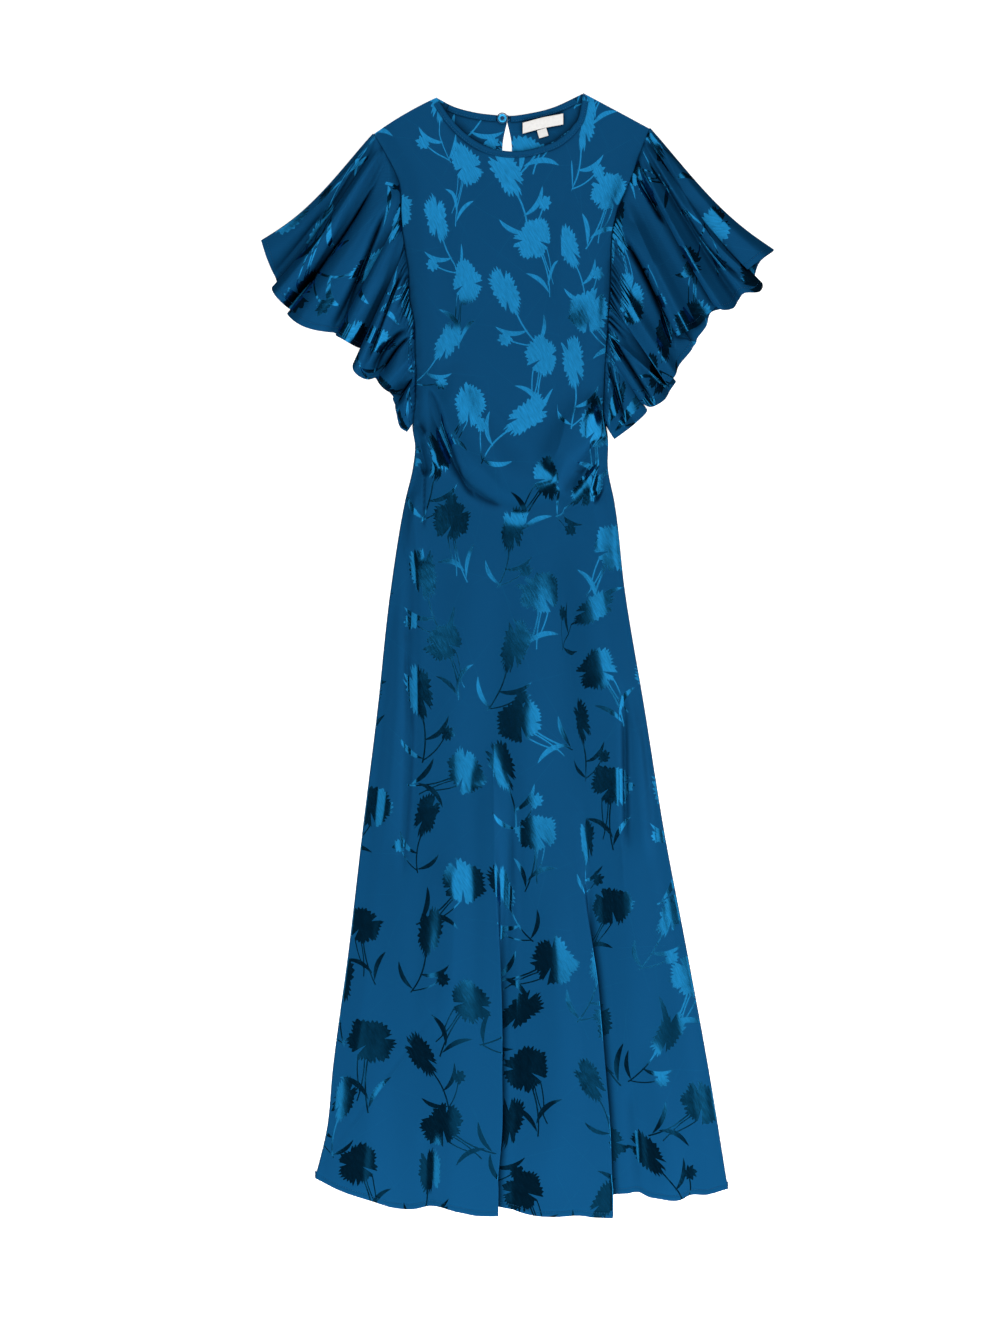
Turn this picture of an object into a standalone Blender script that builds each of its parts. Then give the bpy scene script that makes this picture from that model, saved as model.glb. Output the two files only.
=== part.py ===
"""A satin column dress, laid flat on its back: front, back, two fluted sleeves and the neck's small pieces.

The frame's origin is on the floor, at the middle of the dress's outline. X runs to the right of someone
who looks down on the dress, Y runs from the hem to the neck, and Z is up. Sizes are in millimetres until a
mesh is made.
"""

import math

import bmesh
import bpy
import numpy as np

# Driving dimensions
MM = 0.001
WALL = 1.0
SEAM_GAP = 0.3
BACK_MID = WALL / 2
FRONT_LOW = WALL + SEAM_GAP + WALL / 2
ARMHOLE_SHIFT = 0.7

# Left and right edges of the front below and along the armholes: height up the dress, place across it.
LEFT_EDGE = (
    # y, x
    (651, -179.5),
    (625, -164),
    (588, -147),
    (550, -145.5),
    (518, -142),
    (481, -136),
    (441, -134),
    (414, -128.5),
    (386, -127.5),
    (346, -126.5),
    (319, -127),
    (282, -130),
    (262, -127),
    (235, -129.5),
    (194, -139),
    (81, -157.5),
    (-69, -174),
    (-219, -192.5),
    (-369, -210),
    (-519, -230),
    (-594, -237.5),
    (-654, -252),
)
RIGHT_EDGE = (
    # y, x
    (658, 164.5),
    (628, 153),
    (585, 137),
    (557, 124.5),
    (532, 119),
    (511, 117),
    (468, 115.5),
    (402, 112),
    (368, 109.5),
    (334, 108),
    (305, 107),
    (270, 112),
    (232, 112),
    (194, 119.5),
    (81, 133),
    (-69, 158),
    (-219, 182),
    (-369, 210.5),
    (-519, 238),
    (-667, 262),
)
UNDERARM_LEFT_Y = 282
UNDERARM_RIGHT_Y = 270

# Top edge: a shoulder on each side of the neckline. The left one bows up at its middle.
NECK_LEFT = (-101, 696.5)
NECK_RIGHT = (82, 702)
LEFT_SHOULDER_RISE = 2.5
FRONT_NECKLINE = (
    # x, y
    (-101, 696.5),
    (-87, 675),
    (-69, 655),
    (-45, 638),
    (-22, 630.5),
    (2, 629.5),
    (30, 635),
    (54, 646),
    (69, 661),
    (78, 678),
    (82, 702),
)
BACK_NECKLINE = (
    # x, y
    (-101, 696.5),
    (-81, 686),
    (-57, 679),
    (-28, 675),
    (-10, 674),
    (17, 677.5),
    (46, 685),
    (67, 694.5),
    (82, 702),
)

# Front hem, in the three stretches that the two knife folds part, and the back's hem
HEM_LEFT = (
    # x, y
    (-252, -654),
    (-226, -667),
    (-182, -682),
    (-157, -690),
    (-131, -692),
    (-108, -687.5),
    (-74, -695),
    (-49, -700),
    (-15, -698.5),
)
HEM_MIDDLE = (
    # x, y
    (-40, -686),
    (-16, -687.5),
    (1, -695),
    (22, -700),
    (47, -701),
    (78, -699.5),
    (102, -702.5),
    (132, -698.5),
)
HEM_RIGHT = (
    # x, y
    (105, -676),
    (136, -673),
    (152, -671),
    (163, -676.5),
    (176, -679),
    (208, -678.5),
    (212, -676),
    (237, -674),
    (262, -667),
)
BACK_HEM = (
    # x, y
    (-252, -652),
    (-150, -678),
    (-20, -683),
    (90, -676),
    (140, -664),
    (262, -663),
)
BACK_INSET = 0.8

# Knife folds of the skirt: the flap on the left lies over the cloth on its right. A share is a place across.
KNIFE_FOLDS = (
    # share at its top, share at the hem, top y, full y, overlap, height
    (0.455, 0.437, -90, -500, 13, 9),
    (0.722, 0.716, -150, -430, 13, 9),
)
# Half of a knife fold's share of the width, the part of it that is all turn, and how far its flap slopes away
FOLD_SPREAD = 0.045
FOLD_TURN = 0.2
FLAP_SLOPE = 75
# A knife fold presses the loft near it flat, and its hem steps inside it.
FOLD_PRESS = 0.7
FOLD_PRESS_REACH = 0.8
HEM_STEP_SPREAD = 0.9

# Soft folds of the front: a line from one end to the other, bent to its left, with a width and a height.
FRONT_FOLDS = (
    # x0, y0, x1, y1, bend, width, height
    (-128, 284, -95, 222, 3, 10, 5),
    (-126, 268, -113, 226, 0, 5, -3),
    (-108, 322, -20, 187, -15, 12, -5),
    (-84, 352, 0, 214, -16, 25, 6),
    (-40, 212, 62, 222, -12, 20, 5),
    (-24, 186, 66, 204, -8, 14, -3),
    (116, 268, 60, 206, -6, 11, -5),
    (114, 272, 77, 231, -2, 4.5, -3),
    (109, 236, 97, 200, 0, 5, -2.5),
    (98, 316, 44, 232, -6, 22, 5),
    (-139, 210, -128, 120, 2, 9, 3),
    (-135, 122, -143, -265, 3, 8, -2.5),
    (-152, 60, -168, -240, 4, 12, 2),
    (70, 130, 110, -60, 4, 26, 2.5),
    (-60, 120, -84, -140, 4, 30, 2.5),
    (-36, -150, -34, -470, 0, 14, 2.5),
    (-6, -150, -8, -470, 0, 8, -2.5),
    (-90, -250, -98, -470, 3, 20, 3),
    (133, -50, 136, -236, 0, 6, -2.5),
    (152, -70, 158, -250, 0, 10, 2.5),
    (40, -300, 44, -640, 4, 24, 3),
    (137, -540, 150, -690, 0, 8, -3),
    (166, -500, 190, -690, 3, 16, 3.5),
    (-186, -520, -196, -690, 3, 20, 3),
    (-108, -590, -108, -700, 0, 13, -2.5),
    (-76, 560, -66, 420, 5, 26, 2),
    (66, 560, 62, 420, -5, 26, 2),
)
# Loft of the cloth over the back, how far in from the side it grows, and how softly it meets the back
LOFT = 2.2
EDGE_FADE = 14
SOFT_REST = 0.5
# A soft fold fades over this share of its length at each end, and is this far grown where its line starts.
FADE_LENGTH = 0.3
FADE_START = 0.35

# Front sleeve hems, from the fold at the top to the underarm. The share is where the line from that point
# meets the armhole. A flute is a crest, a nose where the cloth turns under, and a tail that the next hides.
HEM_OF_LEFT_SLEEVE = (
    # share, x, y, z
    (0.00, -320.5, 518, 3.2),
    (0.03, -313, 495, 5.5),
    (0.055, -303, 473, 2.3),
    (0.08, -294, 466, 4.7),
    (0.13, -306.5, 459, 8.2),
    (0.155, -301, 446.5, 13),
    (0.17, -286, 433, 2.8),
    (0.19, -276, 430.5, 4.7),
    (0.225, -287.5, 426, 8.8),
    (0.255, -273.5, 412.5, 14.5),
    (0.28, -254, 405.5, 10),
    (0.31, -229, 403, 2.6),
    (0.335, -212, 405, 4.2),
    (0.37, -227, 400, 9),
    (0.41, -217, 393, 12),
    (0.44, -199, 384, 2.8),
    (0.47, -184, 382, 4.4),
    (0.52, -204, 366, 10),
    (0.57, -203, 352, 14),
    (0.61, -187, 344, 3),
    (0.64, -168, 351, 4.4),
    (0.69, -176, 345, 9),
    (0.74, -168, 333, 12),
    (0.78, -157, 327, 3),
    (0.81, -144, 325, 4.4),
    (0.86, -152.5, 314, 9),
    (0.90, -151, 300, 11),
    (0.95, -147, 285, 7),
    (0.98, -138, 278.5, 3),
)
HEM_OF_RIGHT_SLEEVE = (
    # share, x, y, z
    (0.00, 320.5, 506.5, 3.2),
    (0.04, 308, 497, 9.5),
    (0.075, 287, 481, 8.5),
    (0.11, 297, 489, 4.2),
    (0.135, 293, 476.5, 2.9),
    (0.16, 306, 464, 5),
    (0.18, 301.5, 453, 9),
    (0.21, 283, 451, 12),
    (0.25, 276, 443, 6),
    (0.29, 269, 432.5, 10),
    (0.32, 255, 430, 14),
    (0.34, 243, 439, 9),
    (0.38, 253, 440, 4.2),
    (0.41, 238, 426, 2.8),
    (0.45, 227, 412, 6),
    (0.48, 213, 404, 13),
    (0.505, 199, 397, 9),
    (0.55, 212, 395, 4.4),
    (0.58, 219, 384, 2.8),
    (0.62, 202, 362, 6),
    (0.66, 197, 349, 12),
    (0.69, 187, 336, 9.5),
    (0.735, 198, 342, 4.4),
    (0.76, 191, 331, 2.8),
    (0.80, 183, 318, 8),
    (0.83, 166.5, 309, 12),
    (0.86, 154.5, 314, 7.6),
    (0.895, 162, 305, 4.2),
    (0.92, 149, 291, 3),
    (0.95, 137, 281, 8),
    (0.98, 121, 269.5, 3),
)
BACK_HEM_OF_LEFT_SLEEVE = (
    # share, x, y
    (0.98, -138, 280),
    (0.83, -155, 317),
    (0.78, -157, 325),
    (0.62, -182, 350),
    (0.53, -196, 362),
    (0.45, -197, 386),
    (0.33, -236, 406),
    (0.21, -276, 428),
    (0.12, -297, 458),
    (0.05, -308, 488),
    (0.00, -319, 516),
)
BACK_HEM_OF_RIGHT_SLEEVE = (
    # share, x, y
    (0.98, 120.5, 271),
    (0.88, 150, 306),
    (0.72, 184, 340),
    (0.60, 204, 368),
    (0.52, 222, 388),
    (0.47, 225, 396),
    (0.42, 236, 411),
    (0.36, 242, 428),
    (0.30, 262, 436),
    (0.18, 291, 462),
    (0.08, 302, 490),
    (0.00, 319, 504),
)
SLEEVE_STEPS = (0, 0.07, 0.2, 0.38, 0.58, 0.79, 1)
POINTS_PER_ROW = 3
TOP_FOLD_SAG = 13
TOP_FOLD_REACH = 0.12
TOP_FOLD_SKEW = 1.2
FLUTE_GROWTH = 0.7
GATHER_HEIGHT = 1.0
GATHER_REACH = 0.45
# How far the cloth's middle goes out where a sleeve turns under: across and up the dress
UNDERARM_TURN = (0.3, -0.75)
TOP_TURN = (0.65, 0.65)
# Stretches of the armhole with gathers: from, to, number of small waves.
GATHERS = ((0.38, 0.74, 9), (0.80, 0.98, 4))

# Neck bindings: each is set in from its neck points, or from the button and the slit
BINDING_WIDTH = 8
BINDING_SET_IN = 0.2
FRONT_BINDING_ENDS = (3, 1.5)
BACK_BINDING_ENDS = (16, 11)
BINDING_TO_BUTTON = 2
BINDING_TO_SLIT = 4.5

# Keyhole, button and its thread loop
KEYHOLE_X = -13
KEYHOLE_TOP = 666
KEYHOLE_END = 600
KEYHOLE_HALF_WIDTH = 6
KEYHOLE_SKEW = 1.1
SLIT_HALF_WIDTH = 0.7
BUTTON_CENTRE = (-19, 671)
BUTTON_RADIUS = 5.4
BUTTON_PROFILE = (
    # radius, height
    (0, 0),
    (4.7, 0),
    (5.4, 0.8),
    (5.2, 2.2),
    (4.5, 2.6),
    (3.5, 2.3),
    (2.8, 1.4),
    (0, 1.4),
)
LOOP_THREAD = 1.2
LOOP_CLEARANCE = 0.4
LOOP_MOUTH_ANGLE = 32
LOOP_TAIL = (3, 1.5)

# Labels
LABEL_MIDLINE = (
    # x, y
    (6.5, 658.2),
    (30, 664.5),
    (57, 669.7),
)
LABEL_WIDTH = 13.5
TAB_CENTRE = (31.5, 652.2)
TAB_SIZE = (12, 10)
TAB_TURN = 17

# Number of rows down each stretch of the front, and of columns between the knife folds
FRONT_ROWS = ((630, 300, 13), (300, 140, 12), (140, -700, 14))
COLUMNS_BETWEEN = (12, 5, 7)
COLUMNS_IN_FOLD = 13
FOLD_COLUMNS_REACH = 1.15

# Number of points along the back's edges, the bindings, the button, its loop and the label
BACK_HEM_POINTS = 25
BACK_TOP_POINTS = 16
KEYHOLE_POINTS = 12
FRONT_BINDING_POINTS = 41
BACK_BINDING_POINTS = 15
BUTTON_SIDES = 24
LOOP_POINTS = 15
LABEL_POINTS = 9

# Colours of the satin, the button and the labels
SATIN = (0.006, 0.062, 0.135, 1)
BUTTON_BLUE = (0.012, 0.12, 0.27, 1)
LABEL_WHITE = (0.78, 0.77, 0.74, 1)


def ease(x):
    """0 below 0, 1 above 1, and smooth between them."""
    x = np.clip(x, 0, 1)
    return x * x * (3 - 2 * x)


def read(table, at):
    """A smooth curve through a table of two columns, the first in rising or falling order."""
    rows = np.array(sorted(table), float)
    x, y = rows[:, 0], rows[:, 1]
    slope = np.gradient(y, x)
    i = np.clip(np.searchsorted(x, at) - 1, 0, len(x) - 2)
    width = x[i + 1] - x[i]
    t = np.clip((at - x[i]) / width, 0, 1)
    return (
        (1 + 2 * t) * (1 - t) ** 2 * y[i]
        + t * (1 - t) ** 2 * width * slope[i]
        + t * t * (3 - 2 * t) * y[i + 1]
        + t * t * (t - 1) * width * slope[i + 1]
    )


def through(table, at):
    """A smooth curve through the rows of a table, read at row numbers that need not be whole."""
    rows = np.array(table, float)
    last = len(rows) - 1
    i = np.clip(np.floor(at).astype(int), 0, last - 1)
    t = (at - i)[:, None]
    before, after = rows[np.maximum(i - 1, 0)], rows[np.minimum(i + 2, last)]
    here, there = rows[i], rows[i + 1]
    return 0.5 * (
        2 * here
        + (there - before) * t
        + (2 * before - 5 * here + 4 * there - after) * t**2
        + (3 * here - before - 3 * there + after) * t**3
    )


def unit(vectors):
    return vectors / np.maximum(np.linalg.norm(vectors, axis=-1, keepdims=True), 1e-9)


def left_edge(y):
    return read(LEFT_EDGE, np.minimum(y, LEFT_EDGE[0][0]))


def right_edge(y):
    return read(RIGHT_EDGE, np.minimum(y, RIGHT_EDGE[0][0]))


def shoulder(x, end, neck, rise):
    """Height of a shoulder seam, which may bow a little above its straight line."""
    t = np.clip((x - end[0]) / (neck[0] - end[0]), 0, 1)
    return end[1] + (neck[1] - end[1]) * t + rise * 4 * t * (1 - t)


def top_edge(x, neckline):
    left_end, right_end = LEFT_EDGE[0][::-1], RIGHT_EDGE[0][::-1]
    return np.where(
        x < NECK_LEFT[0],
        shoulder(x, left_end, NECK_LEFT, LEFT_SHOULDER_RISE),
        np.where(x > NECK_RIGHT[0], shoulder(x, right_end, NECK_RIGHT, 0), read(neckline, x)),
    )


def fold_share(fold, y):
    """Where a knife fold lies across the front at a height, and how far it has opened there, from 0 to 1."""
    top_share, hem_share, top_y, full_y = fold[:4]
    fall = np.clip((top_y - y) / (top_y - HEM_MIDDLE[0][1]), 0, 1)
    return top_share + (hem_share - top_share) * fall, ease((top_y - y) / (top_y - full_y))


def front_hem(share):
    """Height of the front's hem, with a step hidden inside each knife fold."""
    x = LEFT_EDGE[-1][1] + (RIGHT_EDGE[-1][1] - LEFT_EDGE[-1][1]) * share
    height = read(HEM_LEFT, x)
    for fold, beyond in zip(KNIFE_FOLDS, (HEM_MIDDLE, HEM_RIGHT)):
        step = ease((share - fold[1]) / (HEM_STEP_SPREAD * FOLD_SPREAD) + 0.5)
        height = height + (read(beyond, x) - height) * step
    return height


def along_fold(x, y, fold):
    """Distance from a bent line, and how far along it, from 0 to 1."""
    x0, y0, x1, y1, bend = fold[:5]
    length = math.hypot(x1 - x0, y1 - y0)
    ux, uy = (x1 - x0) / length, (y1 - y0) / length
    along = ((x - x0) * ux + (y - y0) * uy) / length
    aside = (y - y0) * ux - (x - x0) * uy
    inside = np.clip(along, 0, 1)
    return aside - bend * 4 * inside * (1 - inside), along


def soft_folds(x, y):
    """Height that the soft folds add."""
    height = np.zeros_like(x)
    for fold in FRONT_FOLDS:
        aside, along = along_fold(x, y, fold)
        width, rise = fold[5:]
        ends = ease(along / FADE_LENGTH + FADE_START) * ease((1 - along) / FADE_LENGTH + FADE_START)
        height += rise * np.exp(-((aside / width) ** 2)) * ends
    return height


def over_back(lift):
    """Height of the front's middle for a lift, which may be below 0 but doesn't press it into the back."""
    return FRONT_LOW + 0.5 * (lift + np.sqrt(lift**2 + SOFT_REST))


def front_points(shares, downs):
    """Middle of the front's cloth: shares run across it and downs from top edge to hem, both 0 to 1."""
    share, down = np.meshgrid(shares, downs)
    top_x = LEFT_EDGE[0][1] + (RIGHT_EDGE[0][1] - LEFT_EDGE[0][1]) * share
    top = top_edge(top_x, FRONT_NECKLINE)
    y = top + (front_hem(share) - top) * down
    left, right = left_edge(y), right_edge(y)
    x = left + (right - left) * share
    edge = np.minimum(x - left, right - x)
    lift = LOFT * ease(edge / (2 * EDGE_FADE)) + soft_folds(x, y) * ease(edge / EDGE_FADE)
    for fold in KNIFE_FOLDS:
        centre, opened = fold_share(fold, y)
        overlap, rise = fold[4:]
        across = (share - centre) / (2 * FOLD_SPREAD) + 0.5
        inside = np.clip(across, 0, 1)
        x = x + overlap * opened**2 * np.sin(2 * math.pi * inside)
        away = np.minimum(across, 0) * 2 * FOLD_SPREAD * (right - left)
        lift = lift * (1 - FOLD_PRESS * opened * np.exp(-(((across - 0.5) / FOLD_PRESS_REACH) ** 2)))
        fall = ease((inside - FOLD_TURN) / (1 - 2 * FOLD_TURN))
        lift = lift + rise * opened**0.6 * (1 - fall) * np.exp(-((away / FLAP_SLOPE) ** 2))
    return np.stack([x, y, over_back(lift)], axis=-1)


def front_shares():
    """Columns of the front: more of them where a knife fold turns."""
    stops = [0.0]
    shares = []
    for fold in KNIFE_FOLDS:
        middle = (fold[0] + fold[1]) / 2
        stops += [middle - FOLD_SPREAD * FOLD_COLUMNS_REACH, middle + FOLD_SPREAD * FOLD_COLUMNS_REACH]
    stops.append(1.0)
    first, second, third = COLUMNS_BETWEEN
    counts = [first, COLUMNS_IN_FOLD, second, COLUMNS_IN_FOLD, third]
    for start, end, count in zip(stops, stops[1:], counts):
        shares += list(np.linspace(start, end, count, endpoint=False))
    shares.append(1.0)
    width = RIGHT_EDGE[0][1] - LEFT_EDGE[0][1]
    for neck in (NECK_LEFT, NECK_RIGHT):
        exact = (neck[0] - LEFT_EDGE[0][1]) / width
        nearest = int(np.argmin(np.abs(np.array(shares) - exact)))
        shares[nearest] = exact
    return np.array(shares)


def front_downs():
    """Rows of the front: close together round the waist."""
    heights = []
    for start, end, count in FRONT_ROWS:
        heights += list(np.linspace(start, end, count, endpoint=False))
    heights = np.array(heights + [FRONT_ROWS[-1][1]])
    return (heights[0] - heights) / (heights[0] - heights[-1])


def sheet_normals(mid, closed):
    """Unit normals of a grid of points, and how much longer a step along each has to be at a bend."""
    if closed:
        ahead = unit(np.roll(mid, -1, axis=1) - mid)
        behind = np.roll(ahead, 1, axis=1)
    else:
        ahead = unit(np.diff(mid, axis=1))
        behind = np.concatenate([ahead[:, :1], ahead], axis=1)
        ahead = np.concatenate([ahead, ahead[:, -1:]], axis=1)
    steps = unit(np.diff(mid, axis=0))
    down = unit(np.concatenate([steps[:1], steps]) + np.concatenate([steps, steps[-1:]]))
    normals = unit(np.cross(unit(ahead + behind), -down))
    slant = (ahead * normals).sum(-1, keepdims=True)
    return normals / np.sqrt(1 - np.minimum(slant**2, 0.5))


def cloth(name, mid, colour, closed=False, wall=WALL):
    """A wall of even thickness about a grid of middle points, as one closed solid."""
    rows, columns = mid.shape[:2]
    offset = sheet_normals(mid, closed) * wall / 2
    points = np.concatenate([(mid + offset).reshape(-1, 3), (mid - offset).reshape(-1, 3)]) * MM
    points[:, 2] = np.maximum(points[:, 2], 0)
    count = rows * columns

    def at(side, row, column):
        return side * count + row * columns + column % columns

    faces = []
    for column in range(columns if closed else columns - 1):
        for row in range(rows - 1):
            near = [at(0, row, column), at(0, row + 1, column)]
            upper = near + [at(0, row + 1, column + 1), at(0, row, column + 1)]
            faces += [upper, [i + count for i in reversed(upper)]]
        for row, turn in ((0, 1), (rows - 1, -1)):
            rim = [at(0, row, column), at(0, row, column + 1), at(1, row, column + 1), at(1, row, column)]
            faces.append(rim[::turn])
    if not closed:
        for row in range(rows - 1):
            for column, turn in ((0, -1), (columns - 1, 1)):
                rim = [at(0, row, column), at(0, row + 1, column), at(1, row + 1, column), at(1, row, column)]
                faces.append(rim[::-turn])
    return solid(name, points, faces, colour)


def material(name, colour, roughness):
    made = bpy.data.materials.new(name)
    made.use_nodes = True
    shader = made.node_tree.nodes["Principled BSDF"]
    shader.inputs["Base Color"].default_value = colour
    shader.inputs["Roughness"].default_value = roughness
    shader.inputs["Metallic"].default_value = 0
    made.diffuse_color = colour
    return made


def solid(name, points, faces, colour, roughness=0.4):
    """An object with this mesh, its faces turned outwards."""
    mesh = bpy.data.meshes.new(name)
    mesh.from_pydata([tuple(p) for p in points], [], [tuple(f) for f in faces])
    work = bmesh.new()
    work.from_mesh(mesh)
    bmesh.ops.triangulate(work, faces=work.faces[:])
    bmesh.ops.recalc_face_normals(work, faces=work.faces[:])
    work.to_mesh(mesh)
    work.free()
    made = bpy.data.objects.new(name, mesh)
    bpy.context.scene.collection.objects.link(made)
    mesh.materials.append(material(name, colour, roughness))
    return made


def slab(name, outline, low, high, colour, roughness=0.4):
    """A flat plate with this outline, given as points across and up the dress in order."""
    count = len(outline)
    points = [(x * MM, y * MM, z * MM) for z in (low, high) for x, y in outline]
    faces = [list(range(count)), list(range(2 * count - 1, count - 1, -1))]
    faces += [[i, (i + 1) % count, (i + 1) % count + count, i + count] for i in range(count)]
    return solid(name, points, faces, colour, roughness)


def keyhole(side):
    """One side of the slit and the teardrop below it, from the neckline down: side is -1 or 1."""
    heights = np.linspace(KEYHOLE_TOP, KEYHOLE_END, KEYHOLE_POINTS)
    fall = (KEYHOLE_TOP - heights) / (KEYHOLE_TOP - KEYHOLE_END)
    widest = KEYHOLE_HALF_WIDTH - SLIT_HALF_WIDTH
    widths = SLIT_HALF_WIDTH + widest * np.sin(math.pi * fall**KEYHOLE_SKEW)
    x = KEYHOLE_X + side * widths
    x[-1] = KEYHOLE_X
    top_x = KEYHOLE_X + side * SLIT_HALF_WIDTH
    return [(top_x, float(read(BACK_NECKLINE, top_x)))] + list(zip(x, heights))


def make_front():
    mid = front_points(front_shares(), front_downs())
    cloth("front", mid, SATIN)
    return mid


def make_back(front):
    """The back panel lies flat below the front, with the same armholes and side edges."""
    left, right = front[:, 0, :2], front[:, -1, :2]
    inset = np.array([BACK_INSET, 0])
    left = left + inset * (left[:, 1:] < UNDERARM_LEFT_Y)
    right = right - inset * (right[:, 1:] < UNDERARM_RIGHT_Y)
    shares = np.linspace(0, 1, BACK_HEM_POINTS)[1:-1]
    hem_x = left[-1, 0] + (right[-1, 0] - left[-1, 0]) * shares
    hem = list(zip(hem_x, read(BACK_HEM, hem_x)))
    left[-1, 1], right[-1, 1] = BACK_HEM[0][1], BACK_HEM[-1][1]
    top_left = np.linspace(LEFT_EDGE[0][1], KEYHOLE_X - SLIT_HALF_WIDTH, BACK_TOP_POINTS)[1:-1]
    top_right = np.linspace(KEYHOLE_X + SLIT_HALF_WIDTH, RIGHT_EDGE[0][1], BACK_TOP_POINTS)[1:-1]
    outline = list(zip(top_left, top_edge(top_left, BACK_NECKLINE)))
    outline += keyhole(-1)
    outline += keyhole(1)[-2::-1]
    outline += list(zip(top_right, top_edge(top_right, BACK_NECKLINE)))
    outline += [tuple(p) for p in right] + hem[::-1] + [tuple(p) for p in left[::-1]]
    slab("back", outline, 0, WALL, SATIN)


def gathers(share):
    """Small waves along the armhole, from -1 to 1."""
    wave = np.zeros_like(share)
    for start, end, count in GATHERS:
        inside = np.clip((share - start) / (end - start), 0, 1)
        wave += np.sin(2 * math.pi * count * inside) * np.sin(math.pi * inside) ** 0.5
    return wave


def armhole(edge, side, share, underarm):
    """Points just outside an edge of the front, at shares of the way from the shoulder to the underarm."""
    shoulder_y = edge[0, 1]
    y = shoulder_y + (underarm - shoulder_y) * share
    x = np.interp(-y, -edge[:, 1], edge[:, 0]) + side * ARMHOLE_SHIFT
    z = np.interp(-y, -edge[:, 1], edge[:, 2])
    return np.stack([x, y, z], axis=-1)


def sleeve_points(edge, side, underarm, front_hem_rows, back_hem_rows, points_per_row, steps):
    """Middle of a sleeve's cloth, as a closed tube: rows run from armhole to hem, columns round the tube."""
    at = np.linspace(0, len(front_hem_rows) - 1, (len(front_hem_rows) - 1) * points_per_row + 1)
    front = through(front_hem_rows, at)
    under = through(back_hem_rows, np.linspace(0, len(back_hem_rows) - 1, 2 * len(back_hem_rows) - 1))
    share = np.concatenate([front[:, 0], under[:, 0]])
    lower = np.concatenate([np.zeros(len(front)), np.ones(len(under))])
    under_hem = np.column_stack([under[:, 1:], np.full(len(under), BACK_MID)])
    hem = np.concatenate([front[:, 1:], under_hem])
    seam = armhole(edge, side, share, underarm)
    seam[:, 2] = np.where(lower > 0, BACK_MID, seam[:, 2])
    out = np.array(steps)[:, None, None]
    points = seam + (hem - seam) * out
    rise = np.where(lower > 0, 0, 1)[None, :] * (out[..., 0] ** FLUTE_GROWTH - out[..., 0])
    points[..., 2] += rise * (hem[:, 2] - seam[:, 2])
    bow = np.sin(math.pi * out[..., 0] ** TOP_FOLD_SKEW)
    points[..., 1] -= TOP_FOLD_SAG * np.exp(-share / TOP_FOLD_REACH)[None, :] * bow
    fade = np.clip(1 - out[..., 0] / GATHER_REACH, 0, 1) ** 2
    waves = (1 - lower) * (gathers(share) + np.abs(gathers(share)))
    points[..., 2] += GATHER_HEIGHT * fade * waves[None, :]
    return points


def rounded_fold(mid, side, front_count):
    """Adds two columns at the top fold and two at the underarm, where the tube turns to its other side."""
    top_front, top_back = mid[:, 0], mid[:, -1]
    low_front, low_back = mid[:, front_count - 1], mid[:, front_count]

    def turn(start, end, lean):
        shift = np.array([side * lean[0], lean[1], 0])
        return np.stack([start + (end - start) * f + shift for f in (0.25, 0.75)], axis=1)

    underarm = turn(low_front, low_back, UNDERARM_TURN)
    top = turn(top_back, top_front, TOP_TURN)
    return np.concatenate([mid[:, :front_count], underarm, mid[:, front_count:], top], axis=1)


def make_sleeve(name, front, side):
    left = side < 0
    edge = front[:, 0] if left else front[:, -1]
    underarm = UNDERARM_LEFT_Y if left else UNDERARM_RIGHT_Y
    hem = HEM_OF_LEFT_SLEEVE if left else HEM_OF_RIGHT_SLEEVE
    back_hem = BACK_HEM_OF_LEFT_SLEEVE if left else BACK_HEM_OF_RIGHT_SLEEVE
    mid = sleeve_points(edge, side, underarm, hem, back_hem, POINTS_PER_ROW, SLEEVE_STEPS)
    mid = rounded_fold(mid, side, (len(hem) - 1) * POINTS_PER_ROW + 1)
    cloth(name, mid, SATIN, closed=True)


def strip(edge, width, heights, steps=2):
    """Middle points of a flat strip below an edge, at these heights."""
    along = unit(np.gradient(edge, axis=0))
    inward = np.column_stack([along[:, 1], -along[:, 0]])
    inward *= np.sign(-inward[:, 1:])
    rows = [np.column_stack([edge + inward * width * i / (steps - 1), heights]) for i in range(steps)]
    return np.stack(rows)


def make_front_binding():
    start, end = FRONT_BINDING_ENDS
    x = np.linspace(NECK_LEFT[0] + start, NECK_RIGHT[0] - end, FRONT_BINDING_POINTS)
    edge = np.column_stack([x, read(FRONT_NECKLINE, x) - BINDING_SET_IN])
    heights = np.full(FRONT_BINDING_POINTS, over_back(LOFT) + WALL + SEAM_GAP)
    cloth("neck_binding_front", strip(edge, BINDING_WIDTH, heights), SATIN)


def make_back_bindings():
    start, end = BACK_BINDING_ENDS
    button_edge = BUTTON_CENTRE[0] - BUTTON_RADIUS
    spans = {
        "neck_binding_back_left": (NECK_LEFT[0] + start, button_edge - BINDING_TO_BUTTON),
        "neck_binding_back_right": (KEYHOLE_X + BINDING_TO_SLIT, NECK_RIGHT[0] - end),
    }
    for name, ends in spans.items():
        x = np.linspace(*ends, BACK_BINDING_POINTS)
        edge = np.column_stack([x, read(BACK_NECKLINE, x) - BINDING_SET_IN])
        cloth(name, strip(edge, BINDING_WIDTH, np.full(BACK_BINDING_POINTS, FRONT_LOW)), SATIN)


def ring_points(centre, radius, count):
    angles = np.arange(count) * 2 * math.pi / count
    return [(centre[0] + radius * math.cos(a), centre[1] + radius * math.sin(a)) for a in angles]


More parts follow.
